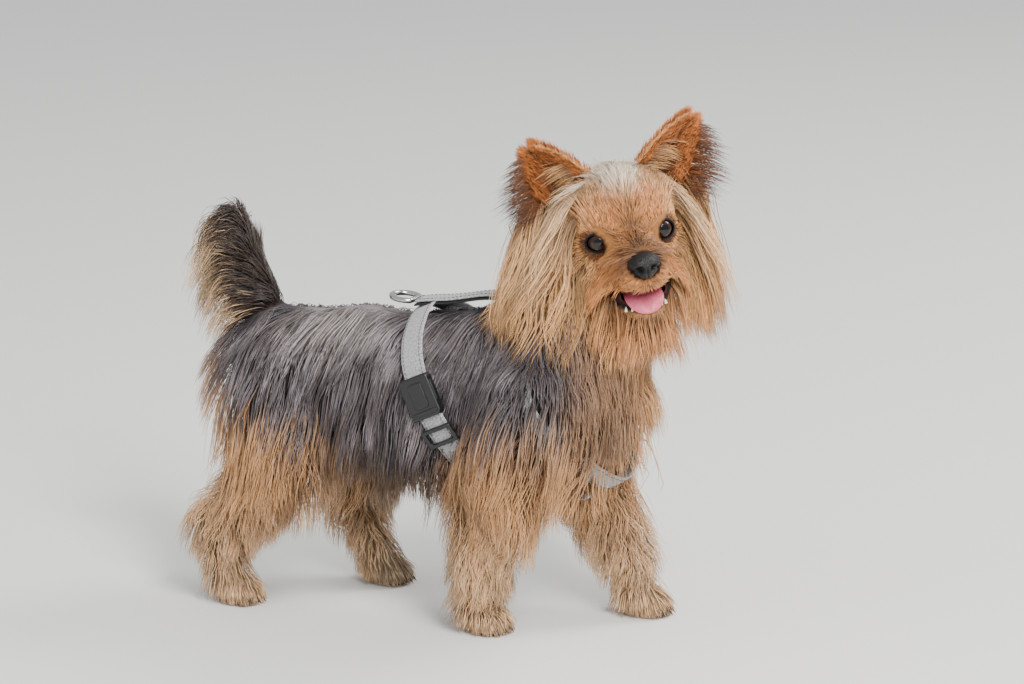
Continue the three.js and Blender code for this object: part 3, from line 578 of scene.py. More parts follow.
def ball(rows=32, columns=48):
    """A closed unit sphere of triangles, its poles on the first axis."""
    angle = np.linspace(0, math.pi, rows + 1)[1:-1]
    turn = np.linspace(0, 2 * math.pi, columns, endpoint=False)
    a, t = np.meshgrid(angle, turn, indexing="ij")
    body = np.stack([np.cos(a), np.sin(a) * np.cos(t), np.sin(a) * np.sin(t)], -1).reshape(-1, 3)
    points = np.concatenate([body, [[1, 0, 0], [-1, 0, 0]]])
    quads = grid_faces(rows - 1, columns)
    triangles = np.concatenate([quads[:, [0, 2, 1]], quads[:, [0, 3, 2]]])
    k = np.arange(columns)
    k2 = (k + 1) % columns
    front = np.stack([np.full(columns, len(body)), k, k2], 1)
    base = (rows - 2) * columns
    back = np.stack([np.full(columns, len(body) + 1), base + k2, base + k], 1)
    triangles = np.concatenate([triangles, front, back])
    return points, triangles[:, ::-1] if volume_sign(points, triangles) < 0 else triangles


def volume_sign(points, triangles):
    a, b, c = (points[triangles[:, k]] for k in range(3))
    return np.sign(np.einsum("ij,ij->i", a, np.cross(b, c)).sum())


def outward(points, triangles):
    return triangles[:, ::-1] if volume_sign(points - points.mean(0), triangles) < 0 else triangles


def finish_piece(piece, slot, *nodes):
    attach(piece, "root")
    if nodes:
        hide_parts(*nodes)


# The skin: one closed surface over all the muscles

VOXEL = 1.9
LOWEST = 0.05  # the skin stops just above the floor


def capsule_points(bar):
    a, b, ra, rb, flat = bar
    sphere = ball(8, 12)[0]
    squeeze = vec(1, flat, 1)
    return np.concatenate([a + sphere * ra * squeeze, b + sphere * rb * squeeze])


def raw_body():
    work = bmesh.new()
    for part in flesh.values():
        for bar in part["muscles"]:
            made = [work.verts.new(p) for p in to_scene(capsule_points(bar))]
            bmesh.ops.convex_hull(work, input=made)
    loose = [v for v in work.verts if not v.link_faces]
    bmesh.ops.delete(work, geom=loose, context="VERTS")
    mesh = bpy.data.meshes.new("body")
    work.to_mesh(mesh)
    work.free()
    made = in_scene("body", mesh)
    remesh = made.modifiers.new("whole", "REMESH")
    remesh.mode = "VOXEL"
    remesh.voxel_size = VOXEL * MM
    whole = plain_mesh(made)
    bpy.data.objects.remove(made)
    return whole


def to_body(points):
    return np.asarray(points) / MM - SHIFT


def relax(mesh):
    """Draws the skin's points onto the muscles' smooth surface."""
    points = to_body(mesh_points(mesh))
    for _ in range(4):
        d, normal = slope(points, body_distance)
        points -= np.clip(d, -4, 4)[:, None] * normal
    points[:, 2] = np.maximum(points[:, 2], LOWEST)
    mesh.vertices.foreach_set("co", to_scene(points).astype(np.float32).ravel())
    mesh.update()


NOSE = vec(57, 0, -10)
MOUTH_CENTRE = vec(26, 0, -30)
MOUTH_SIZE = vec(28, 14, 8)
SOCKET_GAP = 0.35


def carve(target, cutters):
    """Cuts closed meshes out of the skin."""
    for cutter in cutters:
        modifier = target.modifiers.new("cut", "BOOLEAN")
        modifier.operation = "DIFFERENCE"
        modifier.solver = "MANIFOLD"
        modifier.object = cutter
    result = plain_mesh(target)
    target.modifiers.clear()
    old = target.data
    target.data = result
    bpy.data.meshes.remove(old)
    for cutter in cutters:
        bpy.data.objects.remove(cutter)


def head_ball(name, centre, size):
    points, triangles = ball(36, 56)
    placed = SKULL + (centre + points * size) @ HEAD_AXES.T
    return build_mesh(name, placed, triangles, skin_finish)


def make_skin():
    mesh = raw_body()
    relax(mesh)
    mesh.materials.clear()
    mesh.materials.append(skin_finish)
    skin = in_scene("skin", mesh)
    sockets = [
        head_ball("socket", vec(EYE_FORWARD, side * EYE_SPREAD, 0), np.full(3, EYE_R + SOCKET_GAP))
        for side in (-1, 1)
    ]
    carve(skin, [head_ball("mouth", MOUTH_CENTRE, MOUTH_SIZE)] + sockets)
    return skin


# Markings: where each colour of the coat lies, as functions of place, with a painted highlight on top of the
# back and painted shade on the skin under the coat and in the mouth

TONES = {
    name: linear(colour)
    for name, colour in {
        "slate": "#544d50",
        "steel": "#8f878d",
        "sheen_grey": "#bbb2b0",
        "ink": "#2d292b",
        "tan": "#b78a5f",
        "gold": "#cc9c69",
        "cream": "#e5cba8",
        "pale": "#ebe2d5",
        "orange": "#bf6f2e",
        "rust": "#8f5630",
        "umber": "#563a29",
        "sable": "#372c27",
        "lip": "#1c1413",
        "gum": "#8a4a48",
    }.items()
}


def blend_tone(base, tone, share):
    return mix(base, TONES[tone], np.asarray(share)[:, None])


def soft_noise(points, size, seed):
    """Smooth noise between -1 and 1 from a few sums of sines."""
    local = np.random.default_rng(seed)
    total = np.zeros(len(points))
    for _ in range(5):
        direction = unit(local.normal(size=3))
        scale = 2 * math.pi / (size * local.uniform(0.7, 1.6))
        total += np.sin(points @ direction * scale + local.uniform(0, 6.3))
    return total / 3.2


def head_tones(points):
    q = in_head(points)
    f, l, u = q.T
    base = np.tile(TONES["gold"], (len(points), 1))
    base = blend_tone(base, "cream", smooth_step(4, 20, u) * 0.35)
    base = blend_tone(base, "pale", smooth_step(14, 27, u) * smooth_step(14, 5, np.abs(l)) * 0.65)
    brow = np.exp(-(((np.abs(l) - 11) / 11) ** 2) - ((u - 12) / 10) ** 2) * (f > 4)
    base = blend_tone(base, "orange", np.clip(brow * 1.1, 0, 0.6))
    bridge = np.exp(-((l / 7) ** 2) - (u / 10) ** 2) * smooth_step(14, 24, f) * smooth_step(50, 36, f)
    base = blend_tone(base, "orange", smooth_step(14, 34, f) * smooth_step(8, -6, u) * 0.6)
    base = blend_tone(base, "umber", bridge * 0.75)
    muzzle = smooth_step(44, 56, f) * smooth_step(-16, -8, u)
    base = blend_tone(base, "umber", muzzle * 0.7)
    base = blend_tone(base, "cream", smooth_step(-6, -40, u) * 0.12)
    return base


# The lower edge of the dark saddle: its height at places along the body
SADDLE_X = [-140, -95, -55, -10, 35, 75, 110]
SADDLE_Z = [150, 126, 102, 84, 90, 112, 126]


def body_tones(points):
    x, y, z = points.T
    edge = soft_noise(points, 60, 5) * 9
    base = np.tile(TONES["tan"], (len(points), 1))
    lower_edge = np.interp(x, SADDLE_X, SADDLE_Z)
    saddle = smooth_step(-13, 13, z + edge - lower_edge)
    saddle = saddle * smooth_step(134, 110, x + edge) * smooth_step(-146, -122, x + edge)
    base = blend_tone(base, "slate", saddle)
    streak = smooth_step(0.1, 0.9, soft_noise(points * vec(1, 1, 0.35), 16, 8)) * saddle
    base = blend_tone(base, "steel", streak * 0.8)
    # a lighter grey on top of the back behind the harness: painted highlight of the light on the coat
    patch = smooth_step(-78, -50, x) * smooth_step(8, -20, x) * smooth_step(148, 174, z) * saddle
    base = blend_tone(base, "sheen_grey", patch * 0.6)
    belly = smooth_step(104, 92, z) * smooth_step(-50, -20, x) * smooth_step(62, 30, x)
    base = blend_tone(base, "ink", belly * 0.8)
    chest = smooth_step(78, 100, x) * smooth_step(12, -18, y + edge * 0.6) * smooth_step(92, 112, z)
    base = blend_tone(base, "slate", chest * 0.45)
    shoulder = np.exp(-(((x - 92) / 22) ** 2) - ((z - 130) / 15) ** 2) * smooth_step(0, -16, y) * saddle
    base = blend_tone(base, "ink", shoulder * 0.8)
    low = smooth_step(80, 30, z)
    return blend_tone(base, "cream", low * 0.35)


def tail_tones(points):
    x, y, z = points.T
    base = np.tile(TONES["sable"], (len(points), 1))
    behind = smooth_step(-101, -114, x + 0.34 * (z - 166)) * smooth_step(228, 200, z)
    return blend_tone(blend_tone(base, "tan", behind * 0.8), "cream", behind * 0.45)


def coat_tones(points, part):
    if part in ("head", "jaw"):
        return head_tones(points)
    if part == "tail":
        return tail_tones(points)
    if part == "neck":
        high = smooth_step(176, 216, points[:, 2])[:, None]
        return mix(body_tones(points), head_tones(points), high)
    return body_tones(points)


def strand_tones(path, name):
    """Tones along strands. On the head each strand keeps the tone of its root."""
    if name in ("head", "jaw"):
        return np.repeat(coat_tones(path[:, 0], name)[:, None], path.shape[1], 1)
    shift = np.random.default_rng(len(path)).normal(scale=9.0, size=(len(path), 1, 1)) * vec(0.4, 0, 1)
    return coat_tones((path + shift).reshape(-1, 3), name).reshape(path.shape)


def nearest_part(points):
    each = np.stack([part_distance(points, flesh[name]) for name in PARTS], 1)
    return np.argmin(each, 1)


def paint_skin(skin):
    points = to_body(mesh_points(skin.data))
    owner = nearest_part(points)
    colours = np.zeros((len(points), 3))
    for k, name in enumerate(PARTS):
        here = owner == k
        if here.any():
            # the coat's tones darkened to 0.55, as at the strands' roots: painted shade under the coat
            colours[here] = coat_tones(points[here], name) * 0.55
    q = (in_head(points) - MOUTH_CENTRE) / MOUTH_SIZE
    inside = np.linalg.norm(q, axis=1)
    is_head = points[:, 2] > 150
    # the inside of the mouth: gum colour darkened to 0.35, painted shade in the cavity
    cavity = (smooth_step(1.03, 1.0, inside) * is_head)[:, None]
    # the dog's black lips, their band widened over the cheek bars: there it is painted shade under the
    # moustache at the corners of the mouth
    rim = (smooth_step(1.55, 1.3, inside) * is_head)[:, None]
    colours = mix(colours, TONES["lip"], rim)
    colours = mix(colours, TONES["gum"] * 0.35, cavity)
    for side in (-1, 1):
        near = np.linalg.norm(points - eye_centre(side), axis=1)
        colours = mix(colours, TONES["lip"], smooth_step(EYE_R + 2.2, EYE_R + 1.2, near)[:, None])
    near_nose = np.linalg.norm((in_head(points) - NOSE) / vec(10, 9.4, 8), axis=1)
    colours = mix(colours, TONES["lip"] * 0.3, smooth_step(1.12, 0.98, near_nose)[:, None])
    sole = smooth_step(2.5, 0.5, points[:, 2])[:, None]
    colours = mix(colours, TONES["sable"], sole)
    paint(skin.data, colours)


# Roots: points spread over the skin, thinned or kept by a wanted density


def scatter(mesh, count, seed):
    """Random points on a triangulated mesh, in the dog's frame."""
    mesh.calc_loop_triangles()
    triangles = np.empty(len(mesh.loop_triangles) * 3, np.int32)
    mesh.loop_triangles.foreach_get("vertices", triangles)
    corners = to_body(mesh_points(mesh))[triangles.reshape(-1, 3)]
    area = np.linalg.norm(np.cross(corners[:, 1] - corners[:, 0], corners[:, 2] - corners[:, 0]), axis=1)
    local = np.random.default_rng(seed)
    picked = local.choice(len(area), count, p=area / area.sum())
    a = np.sqrt(local.random(count))
    b = local.random(count)
    weights = np.stack([1 - a, a * (1 - b), a * b], 1)
    return np.einsum("ij,ijk->ik", weights, corners[picked])


# How the coat grows. A style gives, for each root: the way it lies, its length, how it droops, how
# far it stands off the skin, how it waves and how wide a tuft is.


def blank_style(count, over=4.0, hug=0.0, jitter=0.1, **same):
    """A style whose roots are all alike. same names the values that differ from the usual ones."""
    usual = {"length": 45.0, "lift": 0.25, "droop": 0.2, "rise": 8.0, "wave": 1.3, "width": 0.95}
    style = {key: np.full(count, float(value)) for key, value in (usual | same).items()}
    style.update(lie=np.tile(vec(0, 0, -1), (count, 1)), over=over, hug=hug, jitter=jitter)
    return style


def blend_style(style, share, **values):
    """Draws a style towards other values in one region, by each root's share in it."""
    for key, value in values.items():
        style[key] = mix(style[key], value, share[:, None] if key == "lie" else share)


def side_of(y):
    return np.tanh(y / 4.0)


def stack(x, y, z):
    return np.stack(np.broadcast_arrays(x, y, z), 1).astype(float)


def torso_style(p, normal):
    x, y, z = p.T
    style = blank_style(len(p), jitter=0.06)
    side = np.where(y > 1, 1.0, -1.0)
    belly = normal[:, 2] < -0.45
    rear = smooth_step(-88, -104, x)
    side_hang = smooth_step(170, 125, z)
    left_chest = smooth_step(0, 12, y) * smooth_step(84, 100, x)
    style["lie"] = stack(mix(-0.28, -0.6, rear), 1.0 * side * (1 - rear), -1.0)
    style["length"] = np.where(belly, 38.0, mix(46.0, 64.0, side_hang))
    style["droop"] = np.where(belly, 0.5, mix(0.12, 0.2, side_hang))
    style["lift"] = mix(mix(0.08, 0.3, side_hang), 0.5, rear)
    style["rise"] = mix(mix(mix(4.0, 12.0, smooth_step(180, 135, z)), 14.0, rear), 8.0, left_chest)
    style["wave"] = mix(1.2, 3.0, smooth_step(150, 105, z))
    return style


def neck_style(p, normal):
    x, y, z = p.T
    side = side_of(y - 3)
    front = smooth_step(104, 120, x)
    left_chest = smooth_step(0, 12, y) * smooth_step(160, 145, z)
    style = blank_style(len(p), droop=0.3, wave=2.2)
    style["lie"] = stack(mix(-0.3, 0.35, front), mix(0.7, 0.25, front) * side, -1.0)
    style["length"] = mix(mix(48.0, 56.0, front), 40.0, left_chest)
    style["lift"] = mix(mix(0.25, 0.6, front), 0.2, left_chest)
    style["rise"] = mix(mix(9.0, 19.0, front), 8.0, left_chest)
    return style


def head_style(p, normal):
    q = in_head(p)
    f, l, u = q.T
    side = side_of(l)
    # long falls from the sides of the skull and the cheeks, shorter behind
    behind = smooth_step(-8, -26, f)
    style = blank_style(len(p), over=5.0, hug=0.7, lift=0.5, width=0.8, droop=0.24)
    style["lie"] = stack(mix(-0.1, 0.25, behind), 0.8 * side, -1.0)
    style["length"] = mix(mix(88.0, 54.0, smooth_step(12, -30, u)), 44.0, behind)
    style["rise"] = mix(mix(9.0, 17.0, smooth_step(18, -10, u)), 8.0, behind)
    # crown: short in the middle, parted
    crown = smooth_step(17, 23, u) * smooth_step(15, 7, np.abs(l)) * smooth_step(14, 6, f)
    blend_style(style, crown, lie=stack(-0.75, 0.8 * side, 0.2), length=24.0, rise=3.0, lift=0.3)
    # forehead: short, from the bridge of the nose up and out
    brow = smooth_step(7, 15, f) * smooth_step(-4, 4, u) * smooth_step(27, 20, np.abs(l))
    sideways = mix(0.55, 0.0, smooth_step(17, 24, f))
    shorter = mix(17.0, 8.0, smooth_step(10, 26, f))
    blend_style(style, brow, lie=stack(-0.8, sideways * side, 0.8), length=shorter, rise=1.6)
    blend_style(style, brow, lift=0.18, width=0.5, droop=0.03)
    # bridge of the nose: a tuft that stands up between the eyes
    tuft = smooth_step(8, 4, np.abs(l)) * smooth_step(15, 20, f)
    tuft = tuft * smooth_step(42, 32, f) * smooth_step(-6, 0, u)
    blend_style(style, tuft, lie=stack(-0.75, 0.5 * side, 1.0), length=13.0, lift=0.6)
    # muzzle: shortest by the nose, then a moustache that hangs over the lips
    muzzle = smooth_step(17, 25, f) * smooth_step(4, -5, u)
    sideways = mix(0.4, 1.25, smooth_step(0, -12, u))
    moustache = smooth_step(58, 34, f) * smooth_step(-3, -14, u)
    blend_style(
        style,
        muzzle,
        lie=stack(-0.8, sideways * side, -0.7),
        length=mix(6.0, 33.0, moustache),
        rise=mix(0.9, 6.5, moustache),
        lift=mix(0.16, 0.5, moustache),
        width=mix(0.45, 0.7, moustache),
        droop=mix(0.05, 0.16, moustache),
    )
    # round each eye: short hair that points away from the lids
    for s in SIGNS.values():
        away = q - vec(EYE_FORWARD, s * EYE_SPREAD, 0)
        near = smooth_step(19, 11.5, np.linalg.norm(away, axis=1))
        blend_style(style, near, lie=unit(away * vec(0.4, 1, 1)) + vec(-0.5, 0, 0))
        near = near * (1 - tuft)
        blend_style(style, near, length=6.0, rise=0.7, lift=0.12, width=0.6, droop=0.0)
    style["lie"] = style["lie"] @ HEAD_AXES.T
    style["wave"] = style["length"] * 0.05
    return style


def jaw_style(p, normal):
    f, l, u = in_head(p).T
    style = blank_style(len(p), over=6.0, rise=3.6, width=0.75, droop=0.3)
    style["lie"] = stack(mix(-0.3, 0.12, smooth_step(20, 44, f)), 0.45 * side_of(l), -1.0) @ HEAD_AXES.T
    style["length"] = mix(44.0, 28.0, smooth_step(26, 48, f))
    return style


def tail_style(p, normal):
    x, y, z = p.T
    front = smooth_step(-0.1, 0.5, normal[:, 0])
    top = smooth_step(196, 222, z)
    style = blank_style(len(p), width=0.8)
    style["lie"] = stack(mix(-0.8, -0.5, front), 0.3 * side_of(y), mix(mix(0.1, 0.25, top), 0.8, front))
    style["length"] = mix(42.0, 24.0, front) * mix(1.0, 0.85, top)
    style["lift"] = mix(mix(0.7, 0.3, front), 0.35, top)
    style["droop"] = mix(mix(0.28, 0.16, front), 0.4, top)
    style["rise"] = mix(7.0, 4.0, front)
    return style


def leg_style(top, is_hind):
    """The style of a leg whose coat is longest from the height top upwards."""

    def style_at(p, normal):
        x, y, z = p.T
        share = smooth_step(16, top, z)
        foot = smooth_step(19, 9, z)
        style = blank_style(len(p), over=2.0, droop=0.25)
        back = mix(-0.02, -0.15, share) if is_hind else -0.1
        fullness = 12.5 if is_hind else 18.0
        style["lie"] = stack(mix(back, 0.5, foot), 0.12 * side_of(y), -1.0)
        style["length"] = mix(mix(22.0, 56.0, share), 7.0, foot)
        style["lift"] = mix(0.8, 0.2, foot)
        style["rise"] = mix(mix(4.5, fullness, smooth_step(20, 66, z)), 1.2, foot)
        style["wave"] = mix(3.4, 0.3, foot)
        style["width"] = mix(0.78, 0.55, foot)
        return style

    return style_at


STYLES = {
    "torso": torso_style,
    "neck": neck_style,
    "head": head_style,
    "jaw": jaw_style,
    "tail": tail_style,
}
for side in SIDES:
    STYLES["foreleg_" + side] = leg_style(120, False)
    STYLES["hindleg_" + side] = leg_style(150, True)


# The harness: bands on the coat, each loop a turn of rays in a slanted plane

WEB_LIFT = 9.2  # from the skin to the middle of the webbing
NECK_LIFT = 1.6  # the neck strap lies deeper, under the hair of the head
TOP_LIFT = 5.2  # on the thin coat along the back
CHEST_LIFT = 13.0  # the neck strap again, where it comes out of the hair on the left of the chest
BACK_OVER = 2.9  # the back strap runs over the girth strap
CHEST_OVER = 3.0
WEB_WIDTH = 15.0
WEB_THICK = 1.8
GIRTH_CENTRE = vec(36, 2, 138)
GIRTH_SLANT = unit(vec(-0.43, 0, 0.9))
NECK_TOP = vec(72, 3, 184)
STERNUM = vec(124, 8, 92)


def reach(starts, directions, distance):
    """Walks out along rays from inside a field to its surface."""
    near = np.zeros(len(starts))
    for _ in range(48):
        d = distance(starts + near[:, None] * directions)
        near += np.clip(-d, 0.0, 8.0) * 0.9
    return starts + near[:, None] * directions


def loop(centre, upward, count, distance):
    turn = np.linspace(0, 2 * math.pi, count, endpoint=False)
    directions = np.outer(np.cos(turn), upward) + np.outer(-np.sin(turn), vec(0, 1, 0))
    return reach(np.tile(centre, (count, 1)), directions, distance), directions


def line_on(starts, aims, distance):
    directions = unit(aims - starts)
    return reach(starts, directions, distance), directions


def girth_lift(points):
    """The girth strap lies on the side coat, and closer on the thin coat along the back."""
    return mix(WEB_LIFT, TOP_LIFT, smooth_step(158, 178, points[:, 2]))


def neck_lift(points):
    """The neck strap is deep under the hair of the head, and comes out on the left of the chest."""
    x, y, z = points.T
    bare = smooth_step(-2, 14, y) * smooth_step(168, 142, z) * smooth_step(72, 100, x)
    return mix(NECK_LIFT, CHEST_LIFT, bare)


LOOP_STEPS = 120
girth_path, girth_out = loop(
    GIRTH_CENTRE, GIRTH_SLANT, LOOP_STEPS, lambda p: part_distance(p, flesh["torso"]) - girth_lift(p)
)
neck_path, neck_out = loop(
    (NECK_TOP + STERNUM) / 2,
    unit(NECK_TOP - STERNUM),
    LOOP_STEPS,
    lambda p: body_distance(p) - neck_lift(p),
)
for _ in range(20):
    neck_path = (np.roll(neck_path, 1, 0) + 2 * neck_path + np.roll(neck_path, -1, 0)) / 4
spine_share = np.linspace(0, 1, 30)[:, None]
back_path, back_out = line_on(
    mix(vec(12, 2, 140), vec(62, 2, 140), spine_share),
    mix(vec(8, 1, 186), vec(66, 3, 196), spine_share),
    lambda p: body_distance(p) - TOP_LIFT - BACK_OVER,
)
chest_path, chest_out = line_on(
    mix(vec(60, 4, 110), vec(106, 7, 112), spine_share),
    mix(vec(58, 4, 60), vec(118, 8, 60), spine_share),
    lambda p: body_distance(p) - WEB_LIFT - CHEST_OVER,
)


BAND_SECTION = 16  # points round a band


def band(name, path, outs, is_loop, width, thick, material):
    """Webbing with rounded edges: a flat section carried along the path."""
    profile = []
    for k in range(BAND_SECTION):
        angle = 2 * math.pi * k / BAND_SECTION
        profile.append((math.copysign(abs(math.cos(angle)) ** 0.35, math.cos(angle)), math.sin(angle)))
    profile = np.array(profile) * [width / 2, thick / 2]
    ahead = np.roll(path, -1, 0) if is_loop else np.concatenate([path[1:], path[-1:]])
    behind = np.roll(path, 1, 0) if is_loop else np.concatenate([path[:1], path[:-1]])
    tangent = unit(ahead - behind)
    across = unit(np.cross(tangent, outs))
    out = np.cross(across, tangent)
    ring = path[:, None] + profile[None, :, :1] * across[:, None] + profile[None, :, 1:] * out[:, None]
    points = ring.reshape(-1, 3)
    count = len(path)
    triangles = halved(grid_faces(count, BAND_SECTION, is_loop, True))
    steps = np.concatenate([[0], np.cumsum(np.linalg.norm(np.diff(path, axis=0), axis=1))])
    uvs = np.stack(np.broadcast_arrays(profile[None, :, 0], steps[:, None]), -1).reshape(-1, 2)
    if not is_loop:
        start = [[0, k + 1, k] for k in range(1, BAND_SECTION - 1)]
        base = (count - 1) * BAND_SECTION
        end = [[base, base + k, base + k + 1] for k in range(1, BAND_SECTION - 1)]
        triangles = np.concatenate([triangles, start, end])
    return build_mesh(name, points, outward(points, triangles), material, uvs=uvs)


def strap_frame(path, outs, index, lift):
    """Axes on a strap: x across it, y out of the body, z along it."""
    along = unit(path[(index + 1) % len(path)] - path[index])
    across = unit(np.cross(along, outs[index]))
    out = np.cross(across, along)
    return path[index] + out * lift, np.stack([across, out, along], 1)


PRESS_WIDTH = WEB_WIDTH / 2 + 1.2  # on each side of the middle of a strap


def coat_ceiling(points):
    """How far the coat may stand off the skin where webbing presses on it, else a large number."""
    ceiling = np.full(len(points), 99.0)
    girth_side = np.cross(GIRTH_SLANT, vec(0, 1, 0))
    under_girth = np.abs((points - GIRTH_CENTRE) @ girth_side) < PRESS_WIDTH
    ceiling = np.where(under_girth, girth_lift(points) - 1.8, ceiling)
    neck_side = np.cross(unit(NECK_TOP - STERNUM), vec(0, 1, 0))
    under_neck = np.abs((points - (NECK_TOP + STERNUM) / 2) @ neck_side) < PRESS_WIDTH
    strap = neck_lift(points)
    ceiling = np.where(under_neck & (strap > 6), strap - 2.5, ceiling)
    x, y, z = points.T
    on_back = (np.abs(y - 2) < 9.5) & (x > 2) & (x < 70) & (z > 168)
    return np.where(on_back, TOP_LIFT, ceiling)


# Growing the strands

LONG_STEPS = 6
SHORT_STEPS = 3
SHORT_FROM = 24.0  # a hair shorter than this is a short one
LONG_FINENESS = 0.8  # long strands are drawn this much finer than their style says


def trace(name, points, normal, heading, length, style, layer, steps, seed):
    """Strand paths and their outward normals: each strand sinks, waves and lies on what is under it."""
    local = np.random.default_rng(seed)
    sway = soft_noise(points, 34, 3) * math.pi + local.normal(scale=0.5, size=len(points))
    path = [points]
    normals = [normal]
    step = (length / steps)[:, None]
    own_reach = style["rise"] * layer
    droop = style["droop"][:, None]
    for i in range(1, steps + 1):
        t = i / steps
        side = np.cross(heading, normal)
        swing = np.cos(2 * math.pi * t * 1.35 + sway) * style["wave"] * 0.16
        heading = unit(heading * (1 - droop) + vec(0, 0, -1) * droop + side * swing[:, None])
        points = points + heading * step
        over = style["over"] * min(1.0, 2.0 * t)
        wanted = own_reach * min(1.0, 0.35 + t) * (1 - style["hug"] * t)
        for _ in range(2):
            d, normal = slope(points, lambda p: body_distance(p, name, over))
            ceiling = coat_ceiling(points)
            push = np.maximum(np.minimum(wanted, ceiling) - d, 0)
            excess = np.maximum(d - ceiling, 0)
            points = points + normal * (push - np.minimum(excess, 14))[:, None]
        points[:, 2] = np.maximum(points[:, 2], 0.8)
        path.append(points)
        normals.append(normal)
    return np.stack(path, 1), np.stack(normals, 1)


def grow(name, roots, steps, seed):
    """Strands of one part of the body from its roots, and the style they grew by."""
    local = np.random.default_rng(seed + 1)
    count = len(roots)
    _, normal = slope(roots, body_distance)
    style = STYLES[name](roots, normal)
    lie = unit(style["lie"]) + local.normal(scale=style["jitter"], size=(count, 3))
    lie = unit(lie - np.sum(lie * normal, 1, keepdims=True) * normal)
    heading = unit(lie + normal * style["lift"][:, None])
    length = style["length"] * local.uniform(0.75, 1.12, count)
    layer = local.uniform(0.3, 1.0, count)
    path, normals = trace(name, roots - normal * 0.8, normal, heading, length, style, layer, steps, seed)
    fineness = np.where(style["length"] < SHORT_FROM, 1.0, LONG_FINENESS)
    style["width"] = style["width"] * mix(1.7, 0.7, layer) * fineness
    return path, normals, style


EYE_CLEAR = 7.2  # radius of the clear view before an eye


def crosses_eye(path):
    """Strands that would hang in front of an eye."""
    crosses = np.zeros(len(path), bool)
    for side in SIGNS.values():
        seen = (path - eye_centre(side)) @ eye_axes(side)
        crosses |= np.any((seen[..., 0] > 0) & (np.hypot(seen[..., 1], seen[..., 2]) < EYE_CLEAR), 1)
    return crosses


STRAP_CLEAR = (-2.0, 45.0)  # heights over the neck strap that are kept clear of hair
STAYS_OVER = 5  # one strand in so many stays over it


def covers_strap(path):
    """Most of the strands that would hide the neck strap where it comes out on the left of the chest."""
    bare = neck_lift(neck_path) > (NECK_LIFT + CHEST_LIFT) / 2
    covers = np.zeros(len(path), bool)
    for spot, out in zip(neck_path[bare], neck_out[bare]):
        away = path - spot
        above = away @ out
        beside = np.linalg.norm(away - above[..., None] * out, axis=-1)
        is_over = (above > STRAP_CLEAR[0]) & (above < STRAP_CLEAR[1])
        covers |= np.any(is_over & (beside < WEB_WIDTH / 2), 1)
    return covers & (np.arange(len(path)) % STAYS_OVER > 0)


def gather(path, every, pull, seed):
    """Draws strands into locks: each leans towards a guide strand, more so at its tip."""
    local = np.random.default_rng(seed)
    count, steps = path.shape[:2]
    guides = local.permutation(count)[: max(1, count // every)]
    tree = KDTree(len(guides))
    for i, g in enumerate(guides):
        tree.insert(path[g, 0], i)
    tree.balance()
    owner = np.array([guides[tree.find(root)[1]] for root in path[:, 0]])
    t = np.linspace(0, 1, steps)
    share = (pull * t**1.3)[None, :, None] * local.uniform(0.45, 1.0, (count, 1, 1))
    aim = path[owner]
    return mix(path, aim, share), owner


TUFT_PATCH = 0.003  # size of a tuft's patch on the map
ATLAS_COLUMNS = 4
ATLAS_ROWS = 3
ATLAS_MARGIN = 45.0  # a part reaches this far past the ends of its line


def on_atlas(index, u, w):
    """The place on the whole map of u, w on the map of one part."""
    column = index % ATLAS_COLUMNS
    row = index // ATLAS_COLUMNS
    return np.stack([(column + u) / ATLAS_COLUMNS, (row + w) / ATLAS_ROWS], 1)


def unwrap(points, part_index, line):
    """A place for each root on a flat map of its own part: along the part and round it."""
    line = np.array(line)
    spans = np.linalg.norm(np.diff(line, axis=0), axis=1)
    best = np.full(len(points), 1e9)
    along = np.zeros(len(points))
    turn = np.zeros(len(points))
    before = 0.0
    for a, b, span in zip(line[:-1], line[1:], spans):
        axis = (b - a) / span
        reference = vec(-1, 0, 0) if abs(axis[2]) > 0.8 else vec(0, 0, 1)
        out = unit(reference - reference @ axis * axis)
        side = np.cross(axis, out)
        rest = points - a
        t = rest @ axis
        off = np.linalg.norm(rest - np.clip(t, 0, span)[:, None] * axis, axis=1)
        closer = off < best
        best = np.where(closer, off, best)
        along = np.where(closer, before + t, along)
        turn = np.where(closer, np.arctan2(rest @ side, rest @ out), turn)
        before += span
    u = np.clip((along + ATLAS_MARGIN) / (spans.sum() + 2 * ATLAS_MARGIN), 0.02, 0.98)
    return on_atlas(part_index, u, 0.02 + 0.96 * (turn / (2 * math.pi) + 0.5))


